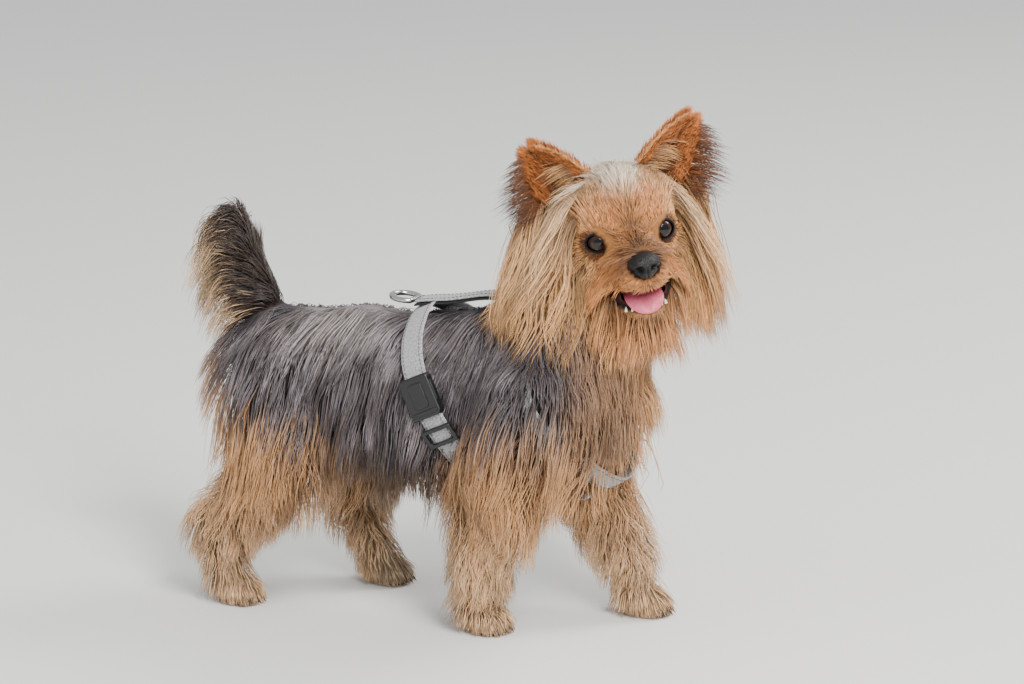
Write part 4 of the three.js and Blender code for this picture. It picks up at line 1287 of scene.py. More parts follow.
def tufts(name, path, normals, width, colours, places, material, flat=0.55):
    """One mesh of closed tapered tufts: three-sided sections along each path."""
    count, rings = path.shape[:2]
    body = rings - 1
    tangent = unit(np.gradient(path, axis=1))
    across = unit(np.cross(tangent, normals))
    out = np.cross(across, tangent)
    t = np.linspace(0, 1, rings)[:body]
    taper = (0.65 + 1.0 * t - 1.45 * t * t)[None, :, None]
    half = width[:, None, None] * taper / 2
    corners = [(-1.0, -0.4 * flat), (1.0, -0.4 * flat), (0.0, 1.2 * flat)]
    ring = [path[:, :body] + half * (s * across[:, :body] + h * out[:, :body]) for s, h in corners]
    points = np.stack(ring, 2).reshape(count, body * 3, 3)
    points = np.concatenate([points, path[:, -1:]], 1)
    each = body * 3 + 1
    faces = [[0, 1, 2]]
    for i in range(body - 1):
        for k in range(3):
            a = 3 * i + k
            b = 3 * i + (k + 1) % 3
            faces += [[a, a + 3, b], [b, a + 3, b + 3]]
    end = 3 * (body - 1)
    faces += [[end, each - 1, end + 1], [end + 1, each - 1, end + 2], [end + 2, each - 1, end]]
    faces = np.array(faces)
    sample = points[0] - points[0].mean(0)
    if volume_sign(sample, faces) < 0:
        faces = faces[:, ::-1]
    all_faces = (faces[None] + (np.arange(count) * each)[:, None, None]).reshape(-1, 3)
    tone = np.concatenate([np.repeat(colours[:, :body], 3, 1), colours[:, -1:]], 1)
    local_t = np.append(np.repeat(t, 3), 1.0) - 0.5
    local_s = np.append(np.tile([-0.5, 0.5, 0.0], body), 0.0)
    patch = np.stack([local_s, local_t], 1) * TUFT_PATCH
    uvs = places[:, None] + patch[None]
    return build_mesh(
        name,
        points.reshape(-1, 3),
        all_faces,
        material,
        tone.reshape(-1, 3),
        uvs=uvs.reshape(-1, 2),
        uv_name="OFBake",
    )


def shade(base, owner, steps, seed, contrast=0.3):
    """Colours along each strand: darker at the root, partly the hair's own lighter tips and partly painted
    shade deep in the coat, with a tone for each lock and each strand.
    """
    local = np.random.default_rng(seed)
    count = len(owner)
    lock_tone = local.normal(scale=contrast, size=count)[owner]
    strand_tone = local.normal(scale=contrast * 0.7, size=count)
    warmth = local.normal(0.02, 0.03, count)
    # 0.42 at the root up to 1.2 at the tip: painted shade deep in the coat, with the real hair's lighter tips
    along = mix(0.42, 1.2, smooth_step(0.0, 0.75, np.linspace(0, 1, steps + 1)))
    level = np.exp(np.clip(lock_tone + strand_tone, -0.8, 0.22))[:, None] * along[None]
    tint = np.stack([1 + warmth, np.ones(count), 1 - 1.4 * warmth], 1)[:, None]
    return np.clip(base * level[..., None] * tint, 0, 1)


MOST_IN_PIECE = 190000


def add_coat(name, path, normals, width, colours, places, material, slot):
    """Makes the tufts in pieces that stay under the largest size."""
    per = (path.shape[1] - 2) * 6 + 4
    most = MOST_IN_PIECE // per
    pieces = math.ceil(len(path) / most)
    order = np.argsort(path[:, 0, 0], kind="stable")
    for k, chosen in enumerate(np.array_split(order, pieces)):
        label = name if pieces == 1 else f"{name}_{k + 1}"
        made = tufts(
            label, path[chosen], normals[chosen], width[chosen], colours[chosen], places[chosen], material
        )
        finish_piece(made, slot)


# Counts of tufts for each part

LONG_COUNTS = {
    "torso": 9400,
    "neck": 3000,
    "head": 5600,
    "jaw": 1100,
    "tail": 1500,
    "foreleg_right": 2200,
    "foreleg_left": 1700,
    "hindleg_right": 2400,
    "hindleg_left": 1700,
}
SHORT_COUNTS = {"head": 11500, "jaw": 1300, "legs": 700}
SLOTS = {
    "torso": "coat_body",
    "neck": "coat_body",
    "tail": "coat_tail",
    "head": "coat_head",
    "jaw": "coat_head",
}
LOCKS = {"long": (20, 0.6), "short": (6, 0.25)}  # strands in a lock, and how far they draw together
MOST_RISE = 30.0  # strands of trunk, neck and left foreleg that stand out further are left out


def keep_clear(points):
    """Drops roots in the mouth, on the lips, by the eyes, under the nose and on the soles."""
    q = in_head(points)
    mouth = np.linalg.norm((q - MOUTH_CENTRE) / MOUTH_SIZE, axis=1)
    is_face = points[:, 2] > 170
    bad = is_face & (mouth < 1.2)
    for side in (-1, 1):
        bad |= np.linalg.norm(points - eye_centre(side), axis=1) < EYE_R + 1.0
    nose = np.linalg.norm((q - NOSE) / vec(8.4, 8.8, 7), axis=1)
    bad |= nose < 1.0
    bad |= points[:, 2] < 2.0
    return ~bad


def dense_where_short(name, roots, wanted, seed):
    """Picks roots, closer together where the hair is shorter."""
    _, normal = slope(roots, body_distance)
    length = STYLES[name](roots, normal)["length"]
    order = np.random.default_rng(seed).random(len(roots)) * length**0.8
    return roots[np.argsort(order)[:wanted]]


def grow_part(name, index, skin_points, owners):
    mine = skin_points[owners == index]
    mine = mine[keep_clear(mine)]
    _, normal = slope(mine, body_distance)
    style = STYLES[name](mine, normal)
    is_short = style["length"] < SHORT_FROM
    slot = SLOTS.get(name, "coat_tan")
    groups = (
        ("long", mine[~is_short], LONG_COUNTS[name], LONG_STEPS, long_hair),
        ("short", mine[is_short], SHORT_COUNTS.get(name, SHORT_COUNTS["legs"]), SHORT_STEPS, short_hair),
    )
    for kind, roots, wanted, steps, material in groups:
        if len(roots) < 10:
            continue
        seed = 100 + index * 10 + (kind == "short")
        roots = dense_where_short(name, roots, wanted, seed)
        path, normals, grown = grow(name, roots, steps, seed)
        path, owner = gather(path, *LOCKS[kind], seed)
        colours = shade(strand_tones(path, name), owner, steps, seed)
        places = unwrap(roots, index, flesh[name]["line"])
        for hides in (crosses_eye, covers_strap):
            path = np.where(hides(path)[:, None, None], mix(path[:, :1], path, 0.4), path)
        kept = ~crosses_eye(path) & ~covers_strap(path)
        if name in ("torso", "neck", "foreleg_left"):
            kept &= np.all(body_distance(path.reshape(-1, 3)).reshape(path.shape[:2]) < MOST_RISE, 1)
        add_coat(
            f"coat_{name}_{kind}",
            path[kept],
            normals[kept],
            grown["width"][kept],
            colours[kept],
            places[kept],
            material,
            slot,
        )


# The ears: cups of thin skin, as in the solids

EAR_TIPS = {1: head(-5, 50, 52), -1: head(-10, -43, 51)}
EAR_OPEN = 0.38  # how far each cup faces outwards, for 1 forwards
EAR_COUNTS = {"back": 2200, "inside": 3000, "outer_fringe": 700, "inner_fringe": 500, "sweep": 120}


def ear_surface(side, u, w):
    """A point of the ear's middle surface: u across from 0 to 1, w from the base to the tip."""
    base = head(-5, side * 22, 19)
    rise = EAR_TIPS[side] - base
    height = np.linalg.norm(rise)
    up = rise / height
    front = head_direction(1, side * EAR_OPEN, 0)
    front = unit(front - front @ up * up)
    across = np.cross(up, front)
    open_ = 2 * u - 1
    half = 17.5 * (1 - w) ** 0.75 * (0.86 + 0.55 * w) + 0.6
    depth = 13 * (1 - w) * (0.7 + 0.6 * w)
    point = base + np.multiply.outer(height * w + 2 * (1 - w) * open_**2, up)
    point = point + np.multiply.outer(half * open_, across)
    return point - np.multiply.outer(depth * (1 - open_**2), front)


def ear_normal(side, u, w, e=0.01):
    u0, u1 = np.clip(u - e, 0, 1), np.clip(u + e, 0, 1)
    w0, w1 = np.clip(w - e, 0, 1), np.clip(w + e, 0, 1)
    du = ear_surface(side, u1, w) - ear_surface(side, u0, w)
    dw = ear_surface(side, u, w1) - ear_surface(side, u, w0)
    return unit(np.cross(du, dw))


EAR_GRID = 26


def make_ear(side, name):
    share = np.linspace(0, 1, EAR_GRID)
    w, u = np.meshgrid(share, share, indexing="ij")
    u, w = u.ravel(), w.ravel()
    middle = ear_surface(side, u, w)
    normal = ear_normal(side, u, w)
    half = (mix(2.2, 1.0, w) / 2)[:, None]
    points = np.concatenate([middle + normal * half, middle - normal * half])
    quads = grid_faces(EAR_GRID, EAR_GRID, False, False)
    back = quads[:, ::-1] + EAR_GRID**2
    edge = list(range(EAR_GRID))
    edge += [r * EAR_GRID + EAR_GRID - 1 for r in range(1, EAR_GRID)]
    edge += [(EAR_GRID - 1) * EAR_GRID + c for c in range(EAR_GRID - 2, -1, -1)]
    edge += [r * EAR_GRID for r in range(EAR_GRID - 2, 0, -1)]
    edge = np.array(edge)
    after = np.roll(edge, -1)
    rim = np.stack([after, edge, edge + EAR_GRID**2, after + EAR_GRID**2], 1)
    quads = np.concatenate([quads, back, rim])
    triangles = halved(quads)
    # darker in the middle and low in the cup: painted shade in the ear's hollow
    deep = smooth_step(0.5, 0.15, np.abs(u - 0.5)) * smooth_step(0.75, 0.2, w)
    inner = blend_tone(np.tile(TONES["rust"], (len(u), 1)), "umber", deep)
    outer = np.tile(TONES["umber"], (len(u), 1))
    is_inner_first = (normal @ head_direction(1, side * EAR_OPEN, 0)).mean() > 0
    colours = np.concatenate([inner, outer] if is_inner_first else [outer, inner])
    made = build_mesh(name, points, outward(points, triangles), skin_finish, colours)
    finish_piece(made, "ear_skin", name)
    return is_inner_first


def ear_hair(side, name, inner_sign):
    """Short hair over both faces of an ear, fringes along its edges and the fall below it."""
    local = np.random.default_rng(70 + side)
    index = 9 + (side > 0)
    up = unit(EAR_TIPS[side] - head(-5, side * 22, 19))
    front = head_direction(1, 0, 0)
    outer_edge = 0.985 if side > 0 else 0.015
    for kind, count in EAR_COUNTS.items():
        u = local.random(count)
        w = local.random(count) ** 1.1 * 0.97
        if kind == "outer_fringe":
            u = np.clip(outer_edge + local.normal(scale=0.012, size=count), 0, 1)
        elif kind in ("inner_fringe", "sweep"):
            u = np.clip(1 - outer_edge + local.normal(scale=0.012, size=count), 0, 1)
        sign = -inner_sign if kind == "back" else inner_sign
        normal = ear_normal(side, u, w) * sign
        edge = ear_surface(side, np.clip(u + 0.02, 0, 1), w) - ear_surface(side, np.clip(u - 0.02, 0, 1), w)
        away = unit(edge) * np.sign(u - 0.5)[:, None]
        jitter = local.normal(scale=0.16, size=(count, 3))
        root = ear_surface(side, u, w) + normal * 0.6
        tip_share = 1 - w
        sink = 0.0
        if kind == "outer_fringe":
            heading = unit(away * 0.9 + up * 0.55 + jitter - front * 0.1)
            length = mix(15.0, 28.0, smooth_step(0, 0.6, tip_share)) * local.uniform(0.3, 1.2, count)
            width, sink, lift = 0.3, 0.18, 0.0
            tone, tip_tone = "rust", "sable"
        elif kind == "inner_fringe":
            heading = unit(away * 0.5 + up * 0.9 + jitter)
            length = mix(5.0, 9.0, tip_share) * local.uniform(0.6, 1.2, count)
            width, lift = 0.36, 0.1
            tone, tip_tone = "orange", "gold"
        elif kind == "sweep":
            w = w * 0.5
            root = ear_surface(side, u, w) + normal * 0.6
            heading = unit(up * 0.75 - away * 0.7 + normal * 0.35 + jitter)
            length = local.uniform(14, 30, count)
            width, sink, lift = 0.42, 0.2, 0.1
            tone, tip_tone = "tan", "gold"
        elif kind == "back":
            heading = unit(up + away * 0.35 + jitter)
            length = np.full(count, 8.5)
            width, lift = 0.6, 0.3
            tone, tip_tone = "rust", "orange"
        else:
            heading = unit(up + away * 0.25 + jitter + normal * 0.25)
            length = mix(6.0, 13.0, tip_share) * local.uniform(0.6, 1.2, count)
            width, lift = 0.38, 0.3
            tone, tip_tone = "umber", "orange"
        path = [root]
        points = root
        for _ in range(SHORT_STEPS):
            heading = unit(heading + normal * lift * 0.25 - vec(0, 0, sink))
            points = points + heading * (length / SHORT_STEPS)[:, None]
            path.append(points)
        path = np.stack(path, 1)
        normals = np.repeat(normal[:, None], SHORT_STEPS + 1, 1)
        path, owner = gather(path, 7, 0.3, 75 + side)
        along = smooth_step(0.2, 1.0, np.linspace(0, 1, SHORT_STEPS + 1))[None, :, None]
        base = mix(TONES[tone], TONES[tip_tone], along) * np.ones((count, 1, 1))
        if kind == "inside":
            # darker in the middle and low in the cup: painted shade in the ear's hollow
            deep = smooth_step(0.5, 0.1, np.abs(u - 0.5)) * smooth_step(0.8, 0.1, w)
            base = mix(base, TONES["sable"], deep[:, None, None] * 0.85)
        colours = shade(base, owner, SHORT_STEPS, 77)
        places = on_atlas(index, 0.1 + 0.8 * u, 0.1 + 0.8 * w)
        widths = np.full(count, width)
        add_coat(f"coat_{name}_{kind}", path, normals, widths, colours, places, short_hair, "ear_skin")
    ear_fall(side, name, index, outer_edge)


FALL_COUNT = 1300


def ear_fall(side, name, index, outer_edge):
    """The long hair that hangs from the outer edge and the back of an ear down beside the head."""
    local = np.random.default_rng(90 + side)
    w = local.random(FALL_COUNT) ** 1.4 * 0.55 - 0.05
    u = np.abs(outer_edge - local.random(FALL_COUNT) ** 2 * 0.45)
    w = np.clip(w, 0, 1)
    root = ear_surface(side, u, w)
    away = head_direction(-0.1, side, 0)
    heading = unit(away * 0.8 + vec(0, 0, -0.75) + local.normal(scale=0.14, size=(FALL_COUNT, 3)))
    normal = np.tile(unit(away), (FALL_COUNT, 1))
    style = blank_style(FALL_COUNT, over=5.0, hug=0.75)
    style["rise"] = np.full(FALL_COUNT, 20.0)
    style["wave"] = np.full(FALL_COUNT, 4.4)
    style["droop"] = np.full(FALL_COUNT, 0.34)
    length = local.uniform(60, 104, FALL_COUNT)
    layer = local.uniform(0.4, 1.0, FALL_COUNT)
    path, normals = trace("head", root, normal, heading, length, style, layer, LONG_STEPS, 91)
    path, owner = gather(path, 12, 0.5, 92)
    along = smooth_step(0.0, 0.3, np.linspace(0, 1, LONG_STEPS + 1))[None, :, None]
    pale = mix(TONES["gold"], TONES["cream"], 0.1)
    base = mix(TONES["orange"], pale, along) * np.ones((FALL_COUNT, 1, 1))
    colours = shade(base, owner, LONG_STEPS, 93)
    places = on_atlas(index, 0.1 + 0.8 * u, 0.1 + 0.8 * w)
    widths = mix(1.3, 0.6, layer)
    add_coat(f"coat_{name}_fall", path, normals, widths, colours, places, long_hair, "coat_head")


# Eyes, lids, nose, tongue, teeth and claws


def aim_axes(direction, upward):
    x = unit(direction)
    y = unit(np.cross(upward, x))
    return np.stack([x, y, np.cross(x, y)], 1)


EYE_OUT = 14.0  # degrees that each eye looks outwards


def eye_axes(side):
    angle = math.radians(EYE_OUT) * side
    return aim_axes(head_direction(math.cos(angle), math.sin(angle), 0.03), head_direction(0, 0, 1))


def make_eye(side, name):
    points, triangles = ball(64, 72)
    off_axis = np.degrees(np.arccos(np.clip(points[:, 0], -1, 1)))
    bulge = 0.55 * smooth_step(46, 20, off_axis)
    placed = eye_centre(side) + (points * (EYE_R + bulge)[:, None]) @ eye_axes(side).T
    iris = mix(linear("#2b1408"), linear("#140a06"), smooth_step(22, 40, off_axis)[:, None])
    colours = mix(linear("#020202"), iris, smooth_step(17, 21, off_axis)[:, None])
    colours = mix(colours, linear("#0c0605"), smooth_step(41, 45, off_axis)[:, None])
    made = build_mesh(name, placed, triangles, eye_finish, colours)
    finish_piece(made, "eye", name)


def make_lids(side, name):
    """Both lids as one thin closed ring on the eye, open in an almond."""
    rows = 72
    turn = np.linspace(0, 2 * math.pi, rows, endpoint=False)
    wide = mix(50.0, 46.0, (np.cos(turn) > 0).astype(float))
    high = np.where(np.sin(turn) > 0, 36.0, 33.0)
    opening = 1 / np.sqrt((np.cos(turn) / wide) ** 2 + (np.sin(turn) / high) ** 2)
    opening = opening * (1 + 0.06 * np.abs(np.cos(turn)) ** 6)
    section = [(0.0, 8.5), (0.0, 8.8), (2.5, 9.0), (9.0, 9.1), (26.0, 8.3), (26.0, 7.9), (10.0, 8.2)]
    rings = []
    for extra, radius in section:
        angle = np.radians(np.minimum(opening + extra, 96.0))
        rings.append(
            np.stack([np.cos(angle), np.sin(angle) * np.cos(turn), np.sin(angle) * np.sin(turn)], 1) * radius
        )
    points = np.stack(rings, 1).reshape(-1, 3)
    placed = eye_centre(side) + points @ eye_axes(side).T
    quads = grid_faces(rows, len(section), True, True)
    triangles = halved(quads)
    reach_out = np.tile([0, 0, 0.1, 0.6, 1, 1, 0.3], rows)
    tone = mix(TONES["lip"] * 0.5, TONES["umber"] * 0.6, smooth_step(0.15, 0.7, reach_out)[:, None])
    made = build_mesh(name, placed, outward(placed, triangles), skin_finish, tone)
    finish_piece(made, "coat_head")
    lid_hair(side, name, opening, turn)


LID_HAIRS = 700


def lid_hair(side, name, opening, turn):
    """Very short hair on the lids that points away from the eye."""
    local = np.random.default_rng(50 + side)
    around = local.uniform(0, 2 * math.pi, LID_HAIRS)
    edge = np.interp(around, np.append(turn, 2 * math.pi), np.append(opening, opening[0]))
    start = np.radians(edge + local.uniform(2.0, 17.0, LID_HAIRS))
    axes = eye_axes(side)
    outwards = np.stack([np.zeros(LID_HAIRS), np.cos(around), np.sin(around)], 1)
    facing = np.cos(start)[:, None] * vec(1, 0, 0) + np.sin(start)[:, None] * outwards
    root = facing * 8.75
    heading = unit(outwards * np.cos(start)[:, None] - np.sin(start)[:, None] * vec(1, 0, 0) + facing * 0.3)
    heading = unit(heading + local.normal(scale=0.15, size=heading.shape) + vec(0, 0.0, 0.1))
    length = local.uniform(2.6, 5.4, LID_HAIRS)
    share = np.linspace(0, 1, SHORT_STEPS + 1)[None, :, None]
    path = root[:, None] + heading[:, None] * share * length[:, None, None]
    path = eye_centre(side) + path @ axes.T
    normals = np.repeat((facing @ axes.T)[:, None], SHORT_STEPS + 1, 1)
    rim = smooth_step(9, 2, np.degrees(start) - edge)[:, None, None]
    brown = mix(TONES["umber"], TONES["orange"], 0.5)
    base = mix(brown, TONES["sable"], rim) * np.ones((1, SHORT_STEPS + 1, 1))
    colours = shade(base, np.arange(LID_HAIRS), SHORT_STEPS, 51)
    places = unwrap(path[:, 0], PARTS.index("head"), flesh["head"]["line"])
    widths = np.full(LID_HAIRS, 0.42)
    add_coat("coat_" + name, path, normals, widths, colours, places, short_hair, "coat_head")


def make_nose():
    points, triangles = ball(96, 128)
    size = vec(8.6, 9.2, 7.7)
    shape = points * size
    # narrower below
    shape[:, 1] *= mix(0.72, 1.06, smooth_step(-6, 4, shape[:, 2]))
    for side in (-1, 1):
        away = (shape - vec(7.0, side * 4.2, -0.7)) / vec(5.0, 2.3, 2.1)
        pit = np.exp(-(np.sum(away**2, 1) ** 1.5))
        shape -= (pit * 3.9)[:, None] * unit(shape * vec(1, 0.4, 0.3))
        slit = (shape - vec(4.6, side * 7.6, -1.6)) / vec(3.4, 2.6, 0.8)
        shape -= (np.exp(-np.sum(slit**2, 1)) * 1.6)[:, None] * unit(shape)
        wing = (shape - vec(5.5, side * 5.4, 1.6)) / vec(4.5, 2.6, 1.6)
        shape += (np.exp(-np.sum(wing**2, 1)) * 0.7)[:, None] * unit(shape)
    groove = np.exp(-((shape[:, 1] / 0.55) ** 2)) * smooth_step(1.5, -2.0, shape[:, 2]) * (shape[:, 0] > 2)
    shape[:, 0] -= groove * 0.9
    placed = SKULL + (NOSE + shape) @ HEAD_AXES.T
    made = build_mesh("nose", placed, triangles, nose_finish)
    finish_piece(made, "nose", "nose")


def curve_through(knots, t):
    """A smooth curve through a few knots, at shares t from 0 to 1."""
    knots = np.array(knots, float)
    where = np.linspace(0, 1, len(knots))
    fits = [np.polyfit(where, knots[:, k], 3) for k in range(knots.shape[1])]
    return np.stack([np.polyval(fit, t) for fit in fits], -1)


def make_tongue():
    rows, columns = 48, 40
    w = np.linspace(0, 1, rows)
    spine = curve_through([(12, -27), (27, -28), (40, -32), (49, -40)], w)
    turn = np.linspace(0, 2 * math.pi, columns, endpoint=False)
    rounding = np.sqrt(np.clip(1 - np.clip((w - 0.6) / 0.4, 0, 1) ** 2.2, 0.004, 1))
    half = 11.0 * rounding
    across = np.cos(turn)[None] * half[:, None]
    share = np.cos(turn)[None] * np.ones((rows, 1))
    groove = (1.5 * np.exp(-((share / 0.22) ** 2)) + 1.5 * share**2) * rounding[:, None]
    thick = 1.7 * rounding[:, None] * np.sin(turn)[None]
    slope_f = np.gradient(spine[:, 0])
    slope_u = np.gradient(spine[:, 1])
    length = np.hypot(slope_f, slope_u)
    up_f, up_u = -slope_u / length, slope_f / length
    height = thick - groove
    f = spine[:, :1] + up_f[:, None] * height
    u = spine[:, 1:] + up_u[:, None] * height
    points = np.stack([f, across, u], -1).reshape(-1, 3)
    ends = np.stack([points[:columns].mean(0), points[-columns:].mean(0)])
    points = np.concatenate([points, ends])
    placed = SKULL + points @ HEAD_AXES.T
    triangles = tube_faces(rows, columns)
    made = build_mesh("tongue", placed, outward(placed, triangles), tongue_finish)
    finish_piece(made, "tongue", "tongue")


def horn(base, tip, bend, radius, rings=12, columns=14):
    """A curved tapering cone, closed at both ends, as points and triangles."""
    t = np.linspace(0, 1, rings)[:, None]
    spine = mix(base, tip, t) + bend * (4 * t * (1 - t))
    tangent = unit(np.gradient(spine, axis=0))
    side = unit(np.cross(tangent, vec(0.2, 0.9, 0.1)))
    other = np.cross(tangent, side)
    turn = np.linspace(0, 2 * math.pi, columns, endpoint=False)
    girth = radius * (1 - t**1.6) + 0.04
    ring = (
        spine[:, None]
        + (np.cos(turn)[None, :, None] * side[:, None] + np.sin(turn)[None, :, None] * other[:, None])
        * girth[:, None]
    )
    points = np.concatenate([ring.reshape(-1, 3), spine[:1], spine[-1:]])
    return points, outward(points, tube_faces(rings, columns))


def join_arrays(pieces):
    points, faces, before = [], [], 0
    for p, f in pieces:
        points.append(p)
        faces.append(f + before)
        before += len(p)
    return np.concatenate(points), np.concatenate(faces)


def make_teeth():
    for side, name in ((-1, "tooth_right"), (1, "tooth_left")):
        pieces = [horn(head(38.5, side * 11.4, -39), head(38.5, side * 11.2, -36.2), vec(0, 0, 0), 1.0)]
        for k in range(3):
            angle = math.radians(18 + 17 * k)
            f, l = 36 + 9.4 * math.cos(angle), side * 10.5 * math.sin(angle)
            pieces.append(horn(head(f, l, -38.5), head(f + 0.3, l, -35.2), vec(0, 0, 0), 0.9, 8, 10))
        points, triangles = join_arrays(pieces)
        made = build_mesh(name, points, triangles, tooth_finish)
        finish_piece(made, "tooth", name)


def make_claws():
    for kind, feet in (("fore", FORE_FEET), ("hind", HIND_FEET)):
        for i, side in enumerate(SIDES):
            turn = rotation("Z", PAW_TURNS[kind][i])
            pieces = []
            for place in TOES:
                forward = toe_forward(place)
                base = feet[i] + turn @ vec(forward + 4.5, place * 4.95, 5.0)
                tip = feet[i] + turn @ vec(forward + 11.0, place * 5.2, 1.4)
                pieces.append(horn(base, tip, vec(0, 0, 1.3), 1.35))
            points, triangles = join_arrays(pieces)
            made = build_mesh(f"claws_{kind}_{side}", points, triangles, claw_finish)
            finish_piece(made, "paw")


# Buckle, sliders and ring


def rounded_outline(width, length, corner, steps=6):
    made = []
    for cx, cy, start in ((1, -1, -90), (1, 1, 0), (-1, 1, 90), (-1, -1, 180)):
        for k in range(steps + 1):
            angle = math.radians(start + 90 * k / steps)
            x = cx * (width / 2 - corner) + corner * math.cos(angle)
            y = cy * (length / 2 - corner) + corner * math.sin(angle)
            made.append((x, y))
    return made


def plate_object(name, outlines, thick, centre, axes, material, bevel):
    """Extrudes outlines (the first is the edge, the rest are windows) and rounds their edges."""
    curve = bpy.data.curves.new(name, "CURVE")
    curve.dimensions = "2D"
    curve.fill_mode = "BOTH"
    curve.extrude = thick / 2 - bevel
    curve.bevel_depth = bevel
    curve.bevel_resolution = 3
    for outline in outlines:
        spline = curve.splines.new("POLY")
        spline.points.add(len(outline) - 1)
        for point, (x, y) in zip(spline.points, outline):
            point.co = (x, y, 0, 1)
        spline.use_cyclic_u = True
    curve.offset = -bevel
    holder = in_scene(name, curve)
    mesh = plain_mesh(holder)
    bpy.data.objects.remove(holder)
    flat = mesh_points(mesh)
    placed = centre + flat[:, [0, 2, 1]] * vec(1, 1, -1) @ axes.T
    mesh.vertices.foreach_set("co", to_scene(placed).astype(np.float32).ravel())
    work = bmesh.new()
    work.from_mesh(mesh)
    bmesh.ops.remove_doubles(work, verts=work.verts, dist=1e-6)
    bmesh.ops.recalc_face_normals(work, faces=work.faces)
    work.to_mesh(mesh)
    work.free()
    mesh.materials.clear()
    mesh.materials.append(material)
    return in_scene(name, mesh)


def joined(name, pieces):
    work = bmesh.new()
    for piece in pieces:
        work.from_mesh(piece.data)
    material = pieces[0].data.materials[0]
    for piece in pieces:
        bpy.data.objects.remove(piece)
    mesh = bpy.data.meshes.new(name)
    work.to_mesh(mesh)
    work.free()
    mesh.materials.append(material)
    return in_scene(name, mesh)


CAD_LOOP_STEPS = 24
BUCKLE_AT = 5.85
GIRTH_SLIDER_AT = 7.5
NECK_SLIDER_AT = 15.5


def loop_index(place):
    return int(round(place / CAD_LOOP_STEPS * LOOP_STEPS)) % LOOP_STEPS


def make_buckle():
    centre, axes = strap_frame(girth_path, girth_out, loop_index(BUCKLE_AT), 0.8)
    across, lift, along = axes.T
    raised = centre + lift * 3.0

    def part(name, outline, thick, place, bevel):
        return plate_object(name, [outline], thick, place, axes, plastic_finish, bevel)

    waist = []
    for x, y in rounded_outline(20, 25, 3, 8):
        pinch = 1 - 0.13 * math.exp(-((y / 6.0) ** 2))
        waist.append((x * pinch, y))
    pieces = [
        part("buckle_body", waist, 6.2, centre, 1.0),
        part("buckle_rib", rounded_outline(9, 15, 2), 1.6, raised - along * 1.0, 0.5),
        part("buckle_bar", rounded_outline(17, 2.4, 1.1), 1.6, raised + along * 9.2, 0.5),
    ]
    for side in SIGNS.values():
        place = centre + across * (side * 9.0) - along * 1.5
        pieces.append(part("buckle_arm", rounded_outline(2.6, 13, 1.2), 3.6, place, 0.6))
    finish_piece(joined("buckle", pieces), "buckle", "buckle")


def make_slider(name, path, outs, place):
    centre, axes = strap_frame(path, outs, loop_index(place), WEB_THICK / 2 + 1.4)
    outlines = [rounded_outline(20, 12, 1.6), rounded_outline(15.2, 7.2, 1.0)]
    frame_piece = plate_object(name, outlines, 2.2, centre, axes, plastic_finish, 0.6)
    finish_piece(frame_piece, "buckle", name)


def make_ring():
    rows, columns = 96, 20
    turn = np.linspace(0, 2 * math.pi, rows, endpoint=False)
    round_ = np.linspace(0, 2 * math.pi, columns, endpoint=False)
    a, b = np.meshgrid(turn, round_, indexing="ij")
    flat = np.where(np.cos(a) > 0.72, 0.72 / np.maximum(np.cos(a), 0.1), 1.0)
    r = 8.5 * flat + 1.6 * np.cos(b)
    points = np.stack([r * np.cos(a), r * np.sin(a), 1.6 * np.sin(b)], -1).reshape(-1, 3)
    placed = vec(-1, 1, 185.5) + points @ rotation("Y", 6).T
    quads = grid_faces(rows, columns, True, True)
    triangles = halved(quads)
    made = build_mesh("ring", placed, outward(placed, triangles), steel_finish)
    finish_piece(made, "ring", "ring")


# Stitches: one tree that sets a short thread along any seam


def stitch_tree():
    tree = bpy.data.node_groups.new("stitches_along_seam", "GeometryNodeTree")
    face = tree.interface
    face.new_socket("Geometry", in_out="INPUT", socket_type="NodeSocketGeometry")
    pitch = face.new_socket("Pitch", in_out="INPUT", socket_type="NodeSocketFloat")
    thread = face.new_socket("Thread radius", in_out="INPUT", socket_type="NodeSocketFloat")
    face.new_socket("Geometry", in_out="OUTPUT", socket_type="NodeSocketGeometry")
    add = tree.nodes.new
    ends = add("NodeGroupInput"), add("NodeGroupOutput")
    sample = add("GeometryNodeResampleCurve")
    sample.mode = "LENGTH"
    to_points = add("GeometryNodeCurveToPoints")
    to_points.mode = "EVALUATED"
    pill = add("GeometryNodeMeshCylinder")
    pill.inputs["Vertices"].default_value = 6
    half = add("ShaderNodeMath")
    half.operation = "MULTIPLY"
    half.inputs[1].default_value = 0.62
    place = add("GeometryNodeInstanceOnPoints")
    real = add("GeometryNodeRealizeInstances")
    paint_ = add("GeometryNodeSetMaterial")
    paint_.inputs["Material"].default_value = thread_finish
    wire = tree.links.new
    wire(ends[0].outputs["Geometry"], sample.inputs["Curve"])
    wire(ends[0].outputs["Pitch"], sample.inputs["Length"])
    wire(sample.outputs["Curve"], to_points.inputs["Curve"])
    wire(ends[0].outputs["Thread radius"], pill.inputs["Radius"])
    wire(ends[0].outputs["Pitch"], half.inputs[0])
    wire(half.outputs["Value"], pill.inputs["Depth"])
    wire(to_points.outputs["Points"], place.inputs["Points"])
    wire(pill.outputs["Mesh"], place.inputs["Instance"])
    wire(to_points.outputs["Rotation"], place.inputs["Rotation"])
    wire(place.outputs["Instances"], real.inputs["Geometry"])
    wire(real.outputs["Geometry"], paint_.inputs["Geometry"])
    wire(paint_.outputs["Geometry"], ends[1].inputs["Geometry"])
    return tree, pitch.identifier, thread.identifier


STITCH_PITCH = 2.6
STITCH_THREAD = 0.28


